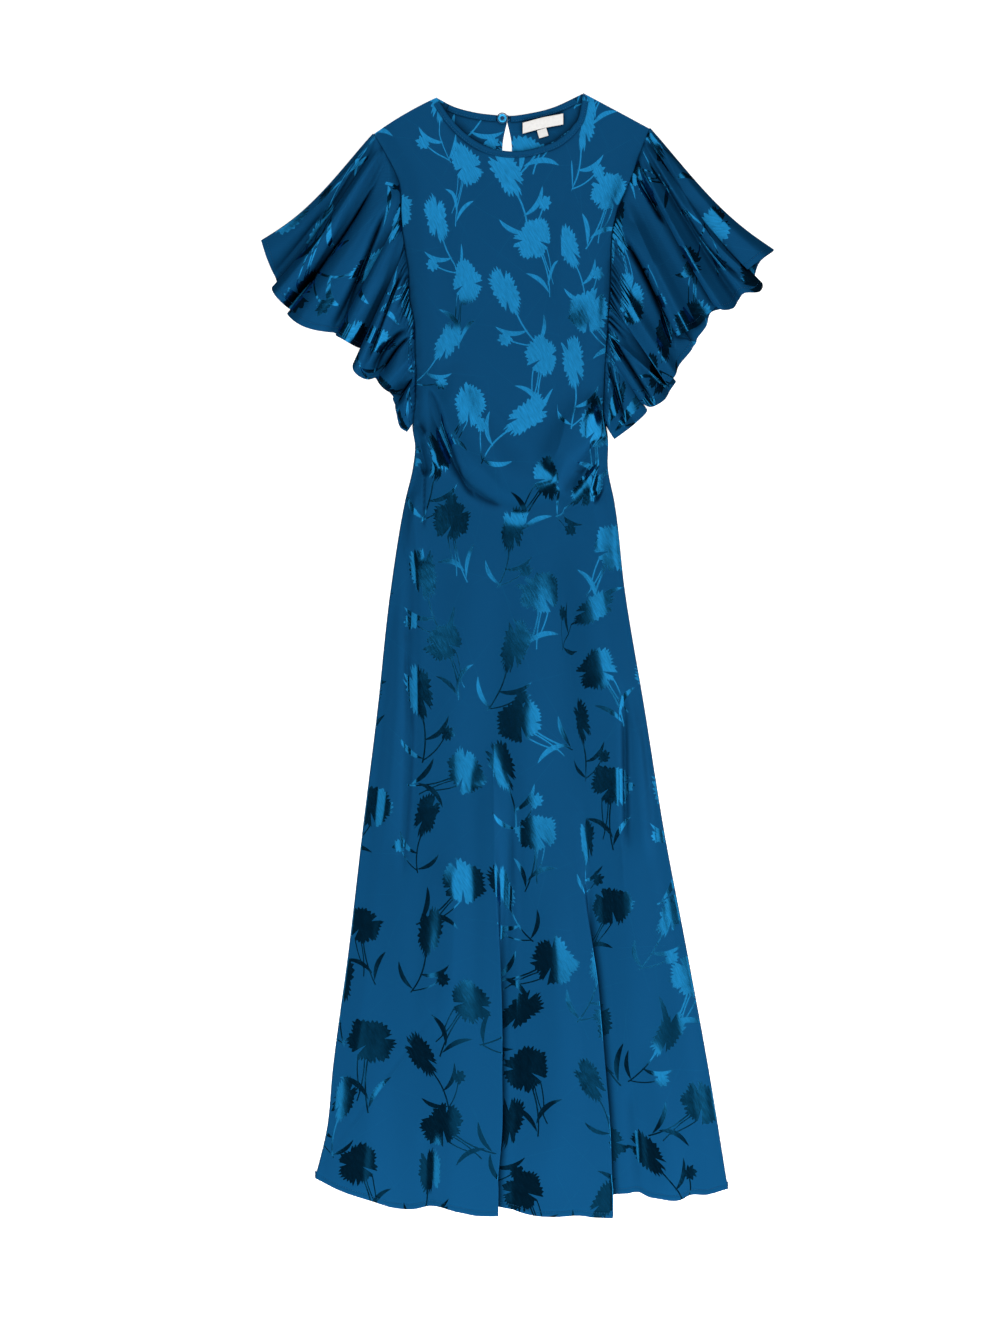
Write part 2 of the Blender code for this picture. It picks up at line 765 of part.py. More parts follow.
def make_button():
    """A round button with a raised rim and a dished middle."""
    low = WALL + SEAM_GAP
    points, rings = [], []
    for radius, height in BUTTON_PROFILE:
        z = (low + height) * MM
        if radius == 0:
            rings.append([len(points)] * BUTTON_SIDES)
            points.append((BUTTON_CENTRE[0] * MM, BUTTON_CENTRE[1] * MM, z))
            continue
        rings.append(list(range(len(points), len(points) + BUTTON_SIDES)))
        points += [(x * MM, y * MM, z) for x, y in ring_points(BUTTON_CENTRE, radius, BUTTON_SIDES)]
    faces = []
    for inner, outer in zip(rings, rings[1:]):
        for i in range(BUTTON_SIDES):
            after = (i + 1) % BUTTON_SIDES
            face = [inner[i], outer[i], outer[after], inner[after]]
            faces.append(list(dict.fromkeys(face)))
    solid("button", points, faces, BUTTON_BLUE, roughness=0.3)


def make_button_loop():
    """A thread loop round the button, with both ends on the right half of the back."""
    reach = BUTTON_RADIUS + LOOP_THREAD / 2 + LOOP_CLEARANCE
    height = WALL + SEAM_GAP + LOOP_THREAD / 2
    start = math.radians(LOOP_MOUTH_ANGLE)
    angles = np.linspace(start, 2 * math.pi - start, LOOP_POINTS)
    curve = bpy.data.curves.new("button_loop", "CURVE")
    curve.dimensions = "3D"
    curve.bevel_depth = LOOP_THREAD / 2 * MM
    curve.bevel_resolution = 1
    curve.use_fill_caps = True
    path = [(BUTTON_CENTRE[0] + reach * math.cos(a), BUTTON_CENTRE[1] + reach * math.sin(a)) for a in angles]
    tail = BUTTON_CENTRE[0] + reach + LOOP_TAIL[0]
    path = [(tail, path[0][1] - LOOP_TAIL[1])] + path + [(tail, path[-1][1] + LOOP_TAIL[1])]
    spline = curve.splines.new("POLY")
    spline.points.add(len(path) - 1)
    for point, (x, y) in zip(spline.points, path):
        point.co = (x * MM, y * MM, height * MM, 1)
    made = bpy.data.objects.new("button_loop", curve)
    bpy.context.scene.collection.objects.link(made)
    curve.materials.append(material("button_loop", SATIN, 0.5))


def make_labels():
    """A bare woven label with a bend in it, and a bare tab that shows below it."""
    low = WALL + SEAM_GAP
    x = np.linspace(LABEL_MIDLINE[0][0], LABEL_MIDLINE[-1][0], LABEL_POINTS)
    middle = read(LABEL_MIDLINE, x)
    half = LABEL_WIDTH / 2
    edge = list(zip(x, middle + half)) + list(zip(x[::-1], middle[::-1] - half))
    slab("neck_label", edge, low + WALL + SEAM_GAP, low + 2 * WALL + SEAM_GAP, LABEL_WHITE, roughness=0.8)
    turn = math.radians(TAB_TURN)
    corners = []
    for across, up in ((-1, -1), (1, -1), (1, 1), (-1, 1)):
        a, b = across * TAB_SIZE[0] / 2, up * TAB_SIZE[1] / 2
        corner = (a * math.cos(turn) - b * math.sin(turn), a * math.sin(turn) + b * math.cos(turn))
        corners.append((TAB_CENTRE[0] + corner[0], TAB_CENTRE[1] + corner[1]))
    slab("size_tab", corners, low, low + WALL, LABEL_WHITE, roughness=0.8)


def main():
    for old in list(bpy.data.objects):
        bpy.data.objects.remove(old)
    front = make_front()
    make_back(front)
    make_sleeve("sleeve_left", front, -1)
    make_sleeve("sleeve_right", front, 1)
    make_front_binding()
    make_back_bindings()
    make_button()
    make_button_loop()
    make_labels()


main()
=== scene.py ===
"""The looks of a satin dress laid flat: its cloth, seams, button and label, and the studio that shows them.

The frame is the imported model's: X to the right, Y from hem to neck, Z up. Tables and shapes are in
millimetres, and MM turns them into metres where a mesh is made. The studio's tables are in metres.
"""

import math

import bmesh
import bpy
import numpy as np
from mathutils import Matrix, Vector


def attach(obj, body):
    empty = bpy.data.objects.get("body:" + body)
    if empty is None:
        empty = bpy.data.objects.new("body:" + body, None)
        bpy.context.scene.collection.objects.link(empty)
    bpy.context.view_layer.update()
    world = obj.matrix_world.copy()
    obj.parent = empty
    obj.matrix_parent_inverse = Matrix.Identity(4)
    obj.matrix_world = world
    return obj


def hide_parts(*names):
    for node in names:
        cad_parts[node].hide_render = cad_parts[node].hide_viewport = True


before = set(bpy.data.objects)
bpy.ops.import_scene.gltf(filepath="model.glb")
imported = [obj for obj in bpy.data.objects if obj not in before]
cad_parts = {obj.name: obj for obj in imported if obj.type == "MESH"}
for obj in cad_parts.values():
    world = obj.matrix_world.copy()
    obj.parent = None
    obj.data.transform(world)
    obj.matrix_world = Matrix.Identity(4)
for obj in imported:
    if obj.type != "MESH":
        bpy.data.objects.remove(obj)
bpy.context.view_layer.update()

MM = 0.001
FULL_TURN = 2 * math.pi
WHITE = (1, 1, 1, 1)

# Heights of front and back, and the sleeves' distance from the front, as in the model
FRONT_LOW = 1.8
BACK_MID = 0.5
ARMHOLE_SHIFT = 0.7

# Left and right edges of the front below and along the armholes
LEFT_EDGE = (
    # y, x
    (651, -179.5), (625, -164), (588, -147), (550, -145.5), (518, -142), (481, -136),
    (441, -134), (414, -128.5), (386, -127.5), (346, -126.5), (319, -127), (282, -130),
    (262, -127), (235, -129.5), (194, -139), (81, -157.5), (-69, -174), (-219, -192.5),
    (-369, -210), (-519, -230), (-594, -237.5), (-654, -252),
)
RIGHT_EDGE = (
    # y, x
    (658, 164.5), (628, 153), (585, 137), (557, 124.5), (532, 119), (511, 117), (468, 115.5),
    (402, 112), (368, 109.5), (334, 108), (305, 107), (270, 112), (232, 112), (194, 119.5),
    (81, 133), (-69, 158), (-219, 182), (-369, 210.5), (-519, 238), (-667, 262),
)
TOP_LEFT_X = LEFT_EDGE[0][1]
TOP_WIDTH = RIGHT_EDGE[0][1] - TOP_LEFT_X
UNDERARM_LEFT_Y = 282
UNDERARM_RIGHT_Y = 270
NECK_LEFT = (-101, 696.5)
NECK_RIGHT = (82, 702)
LEFT_SHOULDER_RISE = 2.5
FRONT_NECKLINE = (
    # x, y
    (-101, 696.5), (-87, 675), (-69, 655), (-45, 638), (-22, 630.5), (2, 629.5), (30, 635),
    (54, 646), (69, 661), (78, 678), (82, 702),
)
BACK_NECKLINE = (
    # x, y
    (-101, 696.5), (-81, 686), (-57, 679), (-28, 675), (-10, 674), (17, 677.5), (46, 685),
    (67, 694.5), (82, 702),
)

# Front hem, in the three stretches that the two knife folds part, and the back's hem
HEM_LEFT = (
    # x, y
    (-252, -654), (-226, -667), (-182, -682), (-157, -690), (-131, -692), (-108, -687.5),
    (-74, -695), (-49, -700), (-15, -698.5),
)
HEM_MIDDLE = (
    # x, y
    (-40, -686), (-16, -687.5), (1, -695), (22, -700), (47, -701), (78, -699.5), (102, -702.5),
    (132, -698.5),
)
HEM_RIGHT = (
    # x, y
    (105, -676), (136, -673), (152, -671), (163, -676.5), (176, -679), (208, -678.5),
    (212, -676), (237, -674), (262, -667),
)
BACK_HEM = (
    # x, y
    (-252, -652), (-150, -678), (-20, -683), (90, -676), (140, -664), (262, -663),
)
KNIFE_FOLDS = (
    # share at its top, share at the hem, top y, full y, overlap, height
    (0.455, 0.437, -90, -500, 13, 9),
    (0.722, 0.716, -150, -430, 13, 9),
)
FOLD_SPREAD = 0.045
FOLD_TURN = 0.2
FLAP_SLOPE = 75
FOLD_PRESS = 0.7
FOLD_PRESS_REACH = 0.8
FOLD_OPENING = 0.6
HEM_STEP_SPREAD = 0.9

# Soft folds as in the model, but shallower at the waist, where CREASES has the narrow troughs
FRONT_FOLDS = (
    # x0, y0, x1, y1, bend, width, height
    (-128, 284, -95, 222, 3, 12, 3.8),
    (-126, 268, -113, 226, 0, 5, -3),
    (-108, 322, -20, 187, -15, 12, -3.4),
    (-84, 352, 0, 214, -16, 28, 4.5),
    (-40, 212, 62, 222, -12, 22, 3.2),
    (-24, 186, 66, 204, -8, 16, -2.8),
    (116, 268, 60, 206, -6, 11, -5),
    (114, 272, 77, 231, -2, 4.5, -3),
    (109, 236, 97, 200, 0, 5, -2.5),
    (98, 316, 44, 232, -6, 22, 5),
    (-139, 210, -128, 120, 2, 9, 3),
    (-135, 122, -143, -265, 3, 8, -2.5),
    (-152, 60, -168, -240, 4, 12, 2),
    (70, 130, 110, -60, 4, 26, 2.5),
    (-60, 120, -84, -140, 4, 30, 2.5),
    (-36, -150, -34, -470, 0, 14, 2.5),
    (-6, -150, -8, -470, 0, 8, -2.5),
    (-90, -250, -98, -470, 3, 20, 3),
    (133, -50, 136, -236, 0, 6, -2.5),
    (152, -70, 158, -250, 0, 10, 2.5),
    (40, -300, 44, -640, 4, 24, 3),
    (137, -540, 150, -690, 0, 8, -3),
    (166, -500, 190, -690, 3, 16, 3.5),
    (-186, -520, -196, -690, 3, 20, 3),
    (-108, -590, -108, -700, 0, 13, -2.5),
    (-76, 560, -66, 420, 5, 26, 2),
    (66, 560, 62, 420, -5, 26, 2),
)
LOFT = 2.2
EDGE_FADE = 14
SOFT_REST = 0.5
FADE_LENGTH = 0.3
FADE_START = 0.35

# Fine creases that are too small for the model, sharp along their lines
CREASES = (
    # x0, y0, x1, y1, bend, width, height
    (-128, 297, -116, 276, 1, 2.2, -5),
    (-126, 290, -108, 250, 2, 3, 2.2),
    (-127, 262, -116, 226, 2, 1.8, -6),
    (-128, 276, -104, 236, 1, 2, 1.8),
    (-116, 230, -117, 159, 0, 1.5, -3),
    (-109, 328, -70, 222, -5, 4.5, -5),
    (-109, 328, -78, 240, -1, 1.8, -8),
    (-78, 240, -55, 200, -2, 2.2, -5),
    (-70, 222, -22, 188, -4, 6, -5),
    (-95, 318, -60, 232, -5, 5, 1.8),
    (118, 268, 84, 222, -1, 1.8, -8),
    (113, 262, 92, 234, -1, 2.5, 1.8),
    (110, 232, 97, 191, 2, 1.8, -7),
    (112, 250, 74, 229, -1, 2.5, -2.2),
    (100, 236, 90, 202, 0, 3, 1.2),
    (-30, 318, 10, 262, -5, 6, 0.8),
    (60, 300, 40, 236, 4, 6, 0.8),
    (-135, 122, -139, 10, 1, 3.5, -3),
    (-139, 10, -132, -99, -1, 3.5, -3),
    (-132, -99, -143, -265, 1, 3.5, -2.6),
    (-30, -128, -30, -470, 0, 4, 2.2),
    (-8, -215, -7, -430, 0, 3.5, -3.2),
    (134, -55, 136, -232, 0, 2.5, -3.2),
    (128, -215, 133, -294, 0, 2, 1.4),
    (148, -555, 156, -670, 0, 4, 1.6),
    (-78, -300, -84, -430, 1, 6, 1.4),
)
# Straight piecing seam of the lower left, and two press creases across the skirt
SEAMS = (
    # x0, y0, x1, y1, bend, width, height
    (-84.4, -420, -245, -637, 0, 1.6, -0.7),
    (-160, -161, 60, -168, 0, 1.8, 0.35),
    (-170, -190, 160, -197, 0, 2.2, 0.3),
)
# Long shallow waves down the cloth, uneven in height
RIPPLES = (
    # wavelength, height, slant, phase, wavelength along the dress
    (117, 2.0, 0.03, 1.2, 700),
    (73, 1.0, -0.05, 0.3, 460),
    (41, 0.2, 0.06, 2.1, 330),
)
RIPPLE_START_Y = 170
RIPPLE_FULL_Y = -60
BODICE_RIPPLE = 0.25
RIPPLE_SWELL = 0.35
SWELL_SLANT = 0.6
SWELL_PHASE = 2.3
# The shown cloth lies a little looser than the model's, so its folds are deeper
SKIRT_LOFT = 2.6
WAIST_LOFT = 6.0
WAIST_Y = 235
WAIST_REACH = 75
FOLD_DEPTH = 1.5
HEM_REST = 90
SEAM_FADE = 3
# The side edges roll down to the back, in steps out and down, and the hem turns under, up the dress and down
SIDE_ROLL = ((0.7, 0.5), (0.5, 0.7))
HEM_TURN = ((-0.5, 0.5), (0.4, 0.6), (9, 0.1))
LOWEST = 0.1
# Hems are sewn
FRONT_LENGTH = 1330
HEM_SEAM = 6
HEM_SEAM_ENDS = (0.01, 0.99)
HEM_SEAM_POINTS = 700
HEM_GROOVE = 0.35
HEM_GROOVE_WIDTH = 1.4
STITCH_PITCH = 3.2
STITCH_LENGTH = 2.3
STITCH_WIDTH = 0.5
STITCH_HEIGHT = 0.3
STITCH_LIFT = 0.12
BAND_STITCH_LIFT = 0.06
# The back lies flatter than the front
BACK_INSET = 0.8
BACK_FOLDS = 0.1
BACK_RIPPLE = 0.25
BACK_LIFT = 0.35
BACK_FADE = 20

HEM_OF_LEFT_SLEEVE = (
    # share, x, y, z
    (0, -320.5, 518, 3.2), (0.03, -313, 495, 5.5), (0.055, -303, 473, 2.3),
    (0.08, -294, 466, 4.7), (0.13, -306.5, 459, 8.2), (0.155, -301, 446.5, 13),
    (0.17, -286, 433, 2.8), (0.19, -276, 430.5, 4.7), (0.225, -287.5, 426, 8.8),
    (0.255, -273.5, 412.5, 14.5), (0.28, -254, 405.5, 10), (0.31, -229, 403, 2.6),
    (0.335, -212, 405, 4.2), (0.37, -227, 400, 9), (0.41, -217, 393, 12),
    (0.44, -199, 384, 2.8), (0.47, -184, 382, 4.4), (0.52, -204, 366, 10),
    (0.57, -203, 352, 14), (0.61, -187, 344, 3), (0.64, -168, 351, 4.4), (0.69, -176, 345, 9),
    (0.74, -168, 333, 12), (0.78, -157, 327, 3), (0.81, -144, 325, 4.4), (0.86, -152.5, 314, 9),
    (0.9, -151, 300, 11), (0.95, -147, 285, 7), (0.98, -138, 278.5, 3),
)
HEM_OF_RIGHT_SLEEVE = (
    # share, x, y, z
    (0, 320.5, 506.5, 3.2), (0.04, 308, 497, 9.5), (0.075, 287, 481, 8.5),
    (0.11, 297, 489, 4.2), (0.135, 293, 476.5, 2.9), (0.16, 306, 464, 5), (0.18, 301.5, 453, 9),
    (0.21, 283, 451, 12), (0.25, 276, 443, 6), (0.29, 269, 432.5, 10), (0.32, 255, 430, 14),
    (0.34, 243, 439, 9), (0.38, 253, 440, 4.2), (0.41, 238, 426, 2.8), (0.45, 227, 412, 6),
    (0.48, 213, 404, 13), (0.505, 199, 397, 9), (0.55, 212, 395, 4.4), (0.58, 219, 384, 2.8),
    (0.62, 202, 362, 6), (0.66, 197, 349, 12), (0.69, 187, 336, 9.5), (0.735, 198, 342, 4.4),
    (0.76, 191, 331, 2.8), (0.8, 183, 318, 8), (0.83, 166.5, 309, 12), (0.86, 154.5, 314, 7.6),
    (0.895, 162, 305, 4.2), (0.92, 149, 291, 3), (0.95, 137, 281, 8), (0.98, 121, 269.5, 3),
)
BACK_HEM_OF_LEFT_SLEEVE = (
    # share, x, y
    (0.98, -138, 280), (0.83, -155, 317), (0.78, -157, 325), (0.62, -182, 350),
    (0.53, -196, 362), (0.45, -197, 386), (0.33, -236, 406), (0.21, -276, 428),
    (0.12, -297, 458), (0.05, -308, 488), (0, -319, 516),
)
BACK_HEM_OF_RIGHT_SLEEVE = (
    # share, x, y
    (0.98, 120.5, 271), (0.88, 150, 306), (0.72, 184, 340), (0.6, 204, 368), (0.52, 222, 388),
    (0.47, 225, 396), (0.42, 236, 411), (0.36, 242, 428), (0.3, 262, 436), (0.18, 291, 462),
    (0.08, 302, 490), (0, 319, 504),
)
TOP_FOLD_SAG = 13
TOP_FOLD_REACH = 0.12
TOP_FOLD_SKEW = 1.2
FLUTE_GROWTH = 0.45
FLUTE_LIFT = 1.55
FLUTE_BASE = 3
GATHER_REACH = 0.34
GATHER_FADE = 1.5
GATHER_ROUNDNESS = 0.7
GATHER_SWAY = 0.25
GATHER_SWAY_RATE = 0.37
GATHER_SWELL = 0.3
GATHER_SWELL_RATE = 9
GATHERS = (
    # from, to, ridges, height
    (0.32, 0.82, 23, 5.0), (0.3, 0.74, 15, 4.0), (0.8, 0.98, 8, 4.0), (0.05, 0.34, 7, 1.0),
)
# Where on the armhole the cloth of each place on the hem comes from
LEFT_FAN = (
    # share along the hem, share down the armhole
    (0.0, 0.0), (0.1, 0.025), (0.17, 0.06), (0.31, 0.23), (0.45, 0.35), (0.57, 0.46),
    (0.66, 0.64), (0.86, 0.84), (1.0, 1.0),
)
RIGHT_FAN = (
    # share along the hem, share down the armhole
    (0.0, 0.0), (0.12, 0.03), (0.25, 0.06), (0.36, 0.12), (0.55, 0.31), (0.72, 0.58),
    (0.9, 0.76), (1.0, 1.0),
)
SLEEVES = {
    # side: underarm, hem, hem of the lower layer, fan
    -1: (UNDERARM_LEFT_Y, HEM_OF_LEFT_SLEEVE, BACK_HEM_OF_LEFT_SLEEVE, LEFT_FAN),
    1: (UNDERARM_RIGHT_Y, HEM_OF_RIGHT_SLEEVE, BACK_HEM_OF_RIGHT_SLEEVE, RIGHT_FAN),
}
# Ridges and trenches of the sleeves' upper cloth, sharp along their lines
SLEEVE_CREASES = (
    # x0, y0, x1, y1, bend, width, height
    (-187, 637, -241, 550, 0, 5, 2.5),
    (-246, 548, -308, 466, 0, 2.8, -3),
    (-184, 579, -287, 432, 6, 1.9, -7),
    (-167, 552, -229, 402, 1, 2.8, -9),
    (-144, 481, -188, 365, 0, 1.9, -7),
    (-142, 406, -179, 354, -6, 2.2, -7),
    (-136, 397, -166, 354, -3, 1.7, -6),
    (-131, 346, -149, 314, 0, 1.7, -6),
    (-160, 480, -210, 385, 2, 5, 2),
    (-215, 560, -262, 470, 3, 7, 2),
    (173, 650, 216, 560, 0, 5, 2.5),
    (208, 555, 278, 470, -6, 2.8, -6),
    (216, 560, 286, 478, -6, 4, 3),
    (153, 604, 241, 449, 2, 6, 3),
    (148, 600, 183, 540, 0, 2.8, -7),
    (146, 540, 172, 482, 0, 5, 3),
    (136, 516, 193, 390, 6, 2.8, -9),
    (113, 400, 188, 334, 0, 3.5, 3.5),
    (112, 404, 168, 315, 0, 2.5, -8),
    (111, 372, 134, 291, 0, 1.9, -6),
)
OVERLAP_GROWTH = 0.6
SLEEVE_LOFT = 6
SLEEVE_LOFT_SKEW = 0.8
SLEEVE_END_REACH = 0.08
SLEEVE_SEAM_SHARE = 0.955
SLEEVE_SEAM_INSET = 4
CREASE_START = 0.12
BASE_REACH = 0.07
UNDERARM_TURN = (0.3, -0.75)
TOP_TURN = (0.65, 0.65)
TURN_STEPS = (0.25, 0.75)

BINDING_WIDTH = 8
BAND_PROFILE = (
    # share across the band, height
    (0, -1.0), (0, -0.1), (0.06, 0.22), (0.4, 0.3), (0.68, 0.26), (0.76, 0.02), (0.84, 0.2),
    (0.96, 0.1), (1, -0.4),
)
BAND_SEAM = 0.76
BANDS = (
    # place, neckline, from x, to x, columns
    ("front", FRONT_NECKLINE, -98, 80.5, 121),
    ("back_left", BACK_NECKLINE, -85, -26.4, 60),
    ("back_right", BACK_NECKLINE, -8.5, 71, 60),
)
BAND_OVERHANG = 0.2
FRONT_BAND_RISE = 0.8
KEYHOLE_X = -13
KEYHOLE_TOP = 666
KEYHOLE_END = 600
KEYHOLE_HALF_WIDTH = 6
KEYHOLE_SKEW = 1.1
KEYHOLE_ROUND = 2
SLIT_HALF_WIDTH = 0.12
BUTTON_CENTRE = (-19, 671)
BUTTON_MIDDLE_RADIUS = 2.5
LABEL_MIDLINE = (
    # x, y
    (6.5, 658.2), (30, 664.5), (57, 669.7),
)
LABEL_WIDTH = 13.5

# Rows of the shown cloth between stops down the front, and columns beside and in the knife folds
ROW_STOPS = (630, 300, 140, -688, -700)
FRONT_ROWS = (90, 120, 216, 8)
FRONT_COLUMNS = (76, 34, 17, 34, 48)
FOLD_COLUMNS_REACH = 1.15
BACK_ROWS = 420
BACK_ROW_SPREAD = 1.15
BACK_COLUMNS = 60
SLEEVE_STEPS = 60
SLEEVE_ROW_SPREAD = 1.2
POINTS_PER_ROW = 18
UNDER_POINTS_PER_ROW = 8
# Distances in metres below which points count as one
NO_GAP = 1e-5
SAME_PLACE = 1e-6

# Colours and finish of the cloth
GROUND = (0.0033, 0.055, 0.144, 1)
FIGURE = (0.0075, 0.133, 0.30, 1)
GROUND_ROUGHNESS = 0.48
FIGURE_ROUGHNESS = 0.18
GROUND_METALLIC = 0.45
FIGURE_METALLIC = 0.98
GLOSS_LEVEL = 0.02
STREAK_ACROSS = 0.5
STREAK_SLANT = 0.28
STREAK_ALONG = 0.09
STREAK_ROUGHNESS = 0.1
STREAK_TONE = 0.9
SPECKLE_SCALE = 1.1
GRAIN_TONE = 0.3
TWILL_TONE = 0.035
TWILL_PITCH = 2.6
STREAK_HEIGHT = 0.00003
PUCKER_SCALE = 0.07
PUCKER_STRETCH = 0.7
PUCKER_HEIGHT = 0.00016
# Painted shade: the cloth's colour is darkened deep inside creases and gathers and below edges, where other
# cloth stands close above it
CREASE_SHADE_REACH = 0.011
CREASE_SHADE = 2.2

TAPE = (0.76, 0.75, 0.735, 1)
TAPE_SHADE = (0.5, 0.49, 0.48, 1)
RIB_PITCH = 1.1
WEFT_PITCH = 0.8
SELVEDGE_WIDTH = 1.2
WEAVE_HEIGHT = 0.00003
THREAD = (0.006, 0.095, 0.23, 1)
THREAD_SHADE = (0.002, 0.035, 0.09, 1)
THREAD_TWIST = 0.7
BUTTON_RIM = (0.022, 0.32, 0.62, 1)
# Painted shade: the button's sunk middle is coloured darker than its rim
BUTTON_HOLLOW_SHADE = (0.002, 0.03, 0.09, 1)

# The woven figure: two sprigs, each in cells of its own of one turned half-drop grid
PITCH = 133
GRID_TURN = 0.45
BACK_FIGURE_SHIFT = (37, 51)
FIGURE_MIDDLE = 0.58
SPRIG_SWAY = 2.1
SPRIG_SIZES = (0.86, 1.04)
MIRRORED_SHARE = 0.45
HEAD_TAPER = 0.12
HEAD_SQUARENESS = 2.6
SCALLOP_TURNS = 3
SCALLOP_ROUNDNESS = 0.6
SCALLOP_DEPTH = 0.13
TOOTH_LENGTH = 3.6
TEETH_SWAY = 4
RIM_SHIFT = 40
RIM_SCALE = 0.06
RIM_UNEVEN = 0.34
RIM_LEAST = 0.77
# Each sprig's parts, about the middle of its cell. Cuts are about the middle of its first head.
CARNATION = {
    "shift": (20, 31),
    "seed": 3.0,
    # x, y, half width, half height, teeth
    "heads": ((6, 26, 31, 26, 31),),
    # angle, start, flare
    "cuts": ((-1.05, 8, 0.17), (2.55, 18, 0.3), (-2.3, 20, 0.3)),
    # x, y, angle, length, width, curl
    "stalks": ((1, 6, -1.98, 66, 2.3, 4), (5, 4, -1.78, 52, 1.9, -2), (14, 4, -2.02, 44, 1.9, 2)),
    "leaves": ((-23, -49, 1.82, 47, 6.8, -5), (-19, -40, 0.22, 47, 7, 7)),
}
SIDE_HEAD = {
    "shift": (82, 73),
    "seed": 8.0,
    "heads": ((0, 24, 15.5, 31, 27), (27, -32, 7.5, 7, 8)),
    "cuts": ((-1.25, 12, 0.2), (1.9, 16, 0.3)),
    "stalks": ((-1, -4, -1.75, 58, 2.2, 4), (-10, -58, 0.62, 42, 1.9, -3)),
    "leaves": ((-5, -34, 0.55, 44, 6.5, -7), (-9, -56, 2.25, 40, 6.2, 5)),
}
SPRIGS = (CARNATION, SIDE_HEAD)

# Studio, in metres
LIGHTS = (
    # name, place, aim, size, power, seen in gloss
    ("key", (0, 2.05, 3.0), (0, 0.2, 0), (2.8, 3.8), 57, True),
    ("rim", (0, 2.4, 0.9), (0, 0.4, 0), (2.4, 0.6), 16, False),
    ("fill", (0, -2.1, 0.9), (0, -0.45, 0), (2.4, 0.8), 155, False),
    ("side_left", (-1.6, -0.35, 0.9), (0, -0.35, 0), (1.8, 1.3), 10, True),
    ("side_right", (1.6, -0.35, 0.9), (0, -0.35, 0), (1.8, 1.3), 16, True),
    ("band_low", (0.15, -1.2, 3.3), (0.15, -1.2, 0), (0.8, 1.4), 0.9, True),
    ("band_right", (1.2, -0.12, 3.3), (0, -0.12, 0), (0.9, 1.7), 9, True),
)
WORLD_STRENGTH = 0.016
FLOOR_SIZE = 30
FLOOR_Z = -0.0005
CAMERA_PLACE = (-0.0169, -0.0056, 6.0)
SHOWN_HEIGHT = 1.64875
SENSOR_HEIGHT = 24


# Shapes


def ease(x):
    """0 below 0, 1 above 1, and smooth between them."""
    x = np.clip(x, 0, 1)
    return x * x * (3 - 2 * x)


def read(table, at):
    """A smooth curve through a table of two columns, the first in rising or falling order."""
    rows = np.array(sorted(table), float)
    x, y = rows[:, 0], rows[:, 1]
    slope = np.gradient(y, x)
    i = np.clip(np.searchsorted(x, at) - 1, 0, len(x) - 2)
    width = x[i + 1] - x[i]
    t = np.clip((at - x[i]) / width, 0, 1)
    return (
        (1 + 2 * t) * (1 - t) ** 2 * y[i]
        + t * (1 - t) ** 2 * width * slope[i]
        + t * t * (3 - 2 * t) * y[i + 1]
        + t * t * (t - 1) * width * slope[i + 1]
    )


def through(table, at):
    """A smooth curve through the rows of a table, read at row numbers that need not be whole."""
    rows = np.array(table, float)
    last = len(rows) - 1
    i = np.clip(np.floor(at).astype(int), 0, last - 1)
    t = (at - i)[:, None]
    before, after = rows[np.maximum(i - 1, 0)], rows[np.minimum(i + 2, last)]
    here, there = rows[i], rows[i + 1]
    return 0.5 * (
        2 * here
        + (there - before) * t
        + (2 * before - 5 * here + 4 * there - after) * t**2
        + (3 * here - before - 3 * there + after) * t**3
    )


def unit(vectors):
    return vectors / np.maximum(np.linalg.norm(vectors, axis=-1, keepdims=True), 1e-9)


def edge_x(table, y):
    """The front's left or right edge at a height."""
    return read(table, np.minimum(y, table[0][0]))


def shoulder(x, end, neck, rise):
    """Height of a shoulder seam, which may bow a little above its straight line."""
    t = np.clip((x - end[0]) / (neck[0] - end[0]), 0, 1)
    return end[1] + (neck[1] - end[1]) * t + rise * 4 * t * (1 - t)


def top_edge(x, neckline):
    left_end, right_end = LEFT_EDGE[0][::-1], RIGHT_EDGE[0][::-1]
    return np.where(
        x < NECK_LEFT[0],
        shoulder(x, left_end, NECK_LEFT, LEFT_SHOULDER_RISE),
        np.where(x > NECK_RIGHT[0], shoulder(x, right_end, NECK_RIGHT, 0), read(neckline, x)),
    )


def fold_share(fold, y):
    """Where a knife fold lies across the front at a height, and how far it has opened, from 0 to 1."""
    top_share, hem_share, top_y, full_y = fold[:4]
    fall = np.clip((top_y - y) / (top_y - HEM_MIDDLE[0][1]), 0, 1)
    return top_share + (hem_share - top_share) * fall, ease((top_y - y) / (top_y - full_y))


def front_hem(share):
    """Height of the front's hem, with a step hidden inside each knife fold."""
    x = LEFT_EDGE[-1][1] + (RIGHT_EDGE[-1][1] - LEFT_EDGE[-1][1]) * share
    height = read(HEM_LEFT, x)
    for fold, beyond in zip(KNIFE_FOLDS, (HEM_MIDDLE, HEM_RIGHT)):
        step = ease((share - fold[1]) / (HEM_STEP_SPREAD * FOLD_SPREAD) + 0.5)
        height = height + (read(beyond, x) - height) * step
    return height


def along_fold(x, y, fold):
    """Distance from a bent line, and how far along it, from 0 to 1."""
    x0, y0, x1, y1, bend = fold[:5]
    length = math.hypot(x1 - x0, y1 - y0)
    ux, uy = (x1 - x0) / length, (y1 - y0) / length
    along = ((x - x0) * ux + (y - y0) * uy) / length
    aside = (y - y0) * ux - (x - x0) * uy
    inside = np.clip(along, 0, 1)
    return aside - bend * 4 * inside * (1 - inside), along


def folds_height(x, y, table, sharp=False):
    """Height that a table of folds adds, round across each line or sharp."""
    height = np.zeros_like(x)
    for fold in table:
        aside, along = along_fold(x, y, fold)
        width, rise = fold[5:]
        away = np.abs(aside) / width
        ends = ease(along / FADE_LENGTH + FADE_START) * ease((1 - along) / FADE_LENGTH + FADE_START)
        height += rise * np.exp(-(away if sharp else away**2)) * ends
    return height


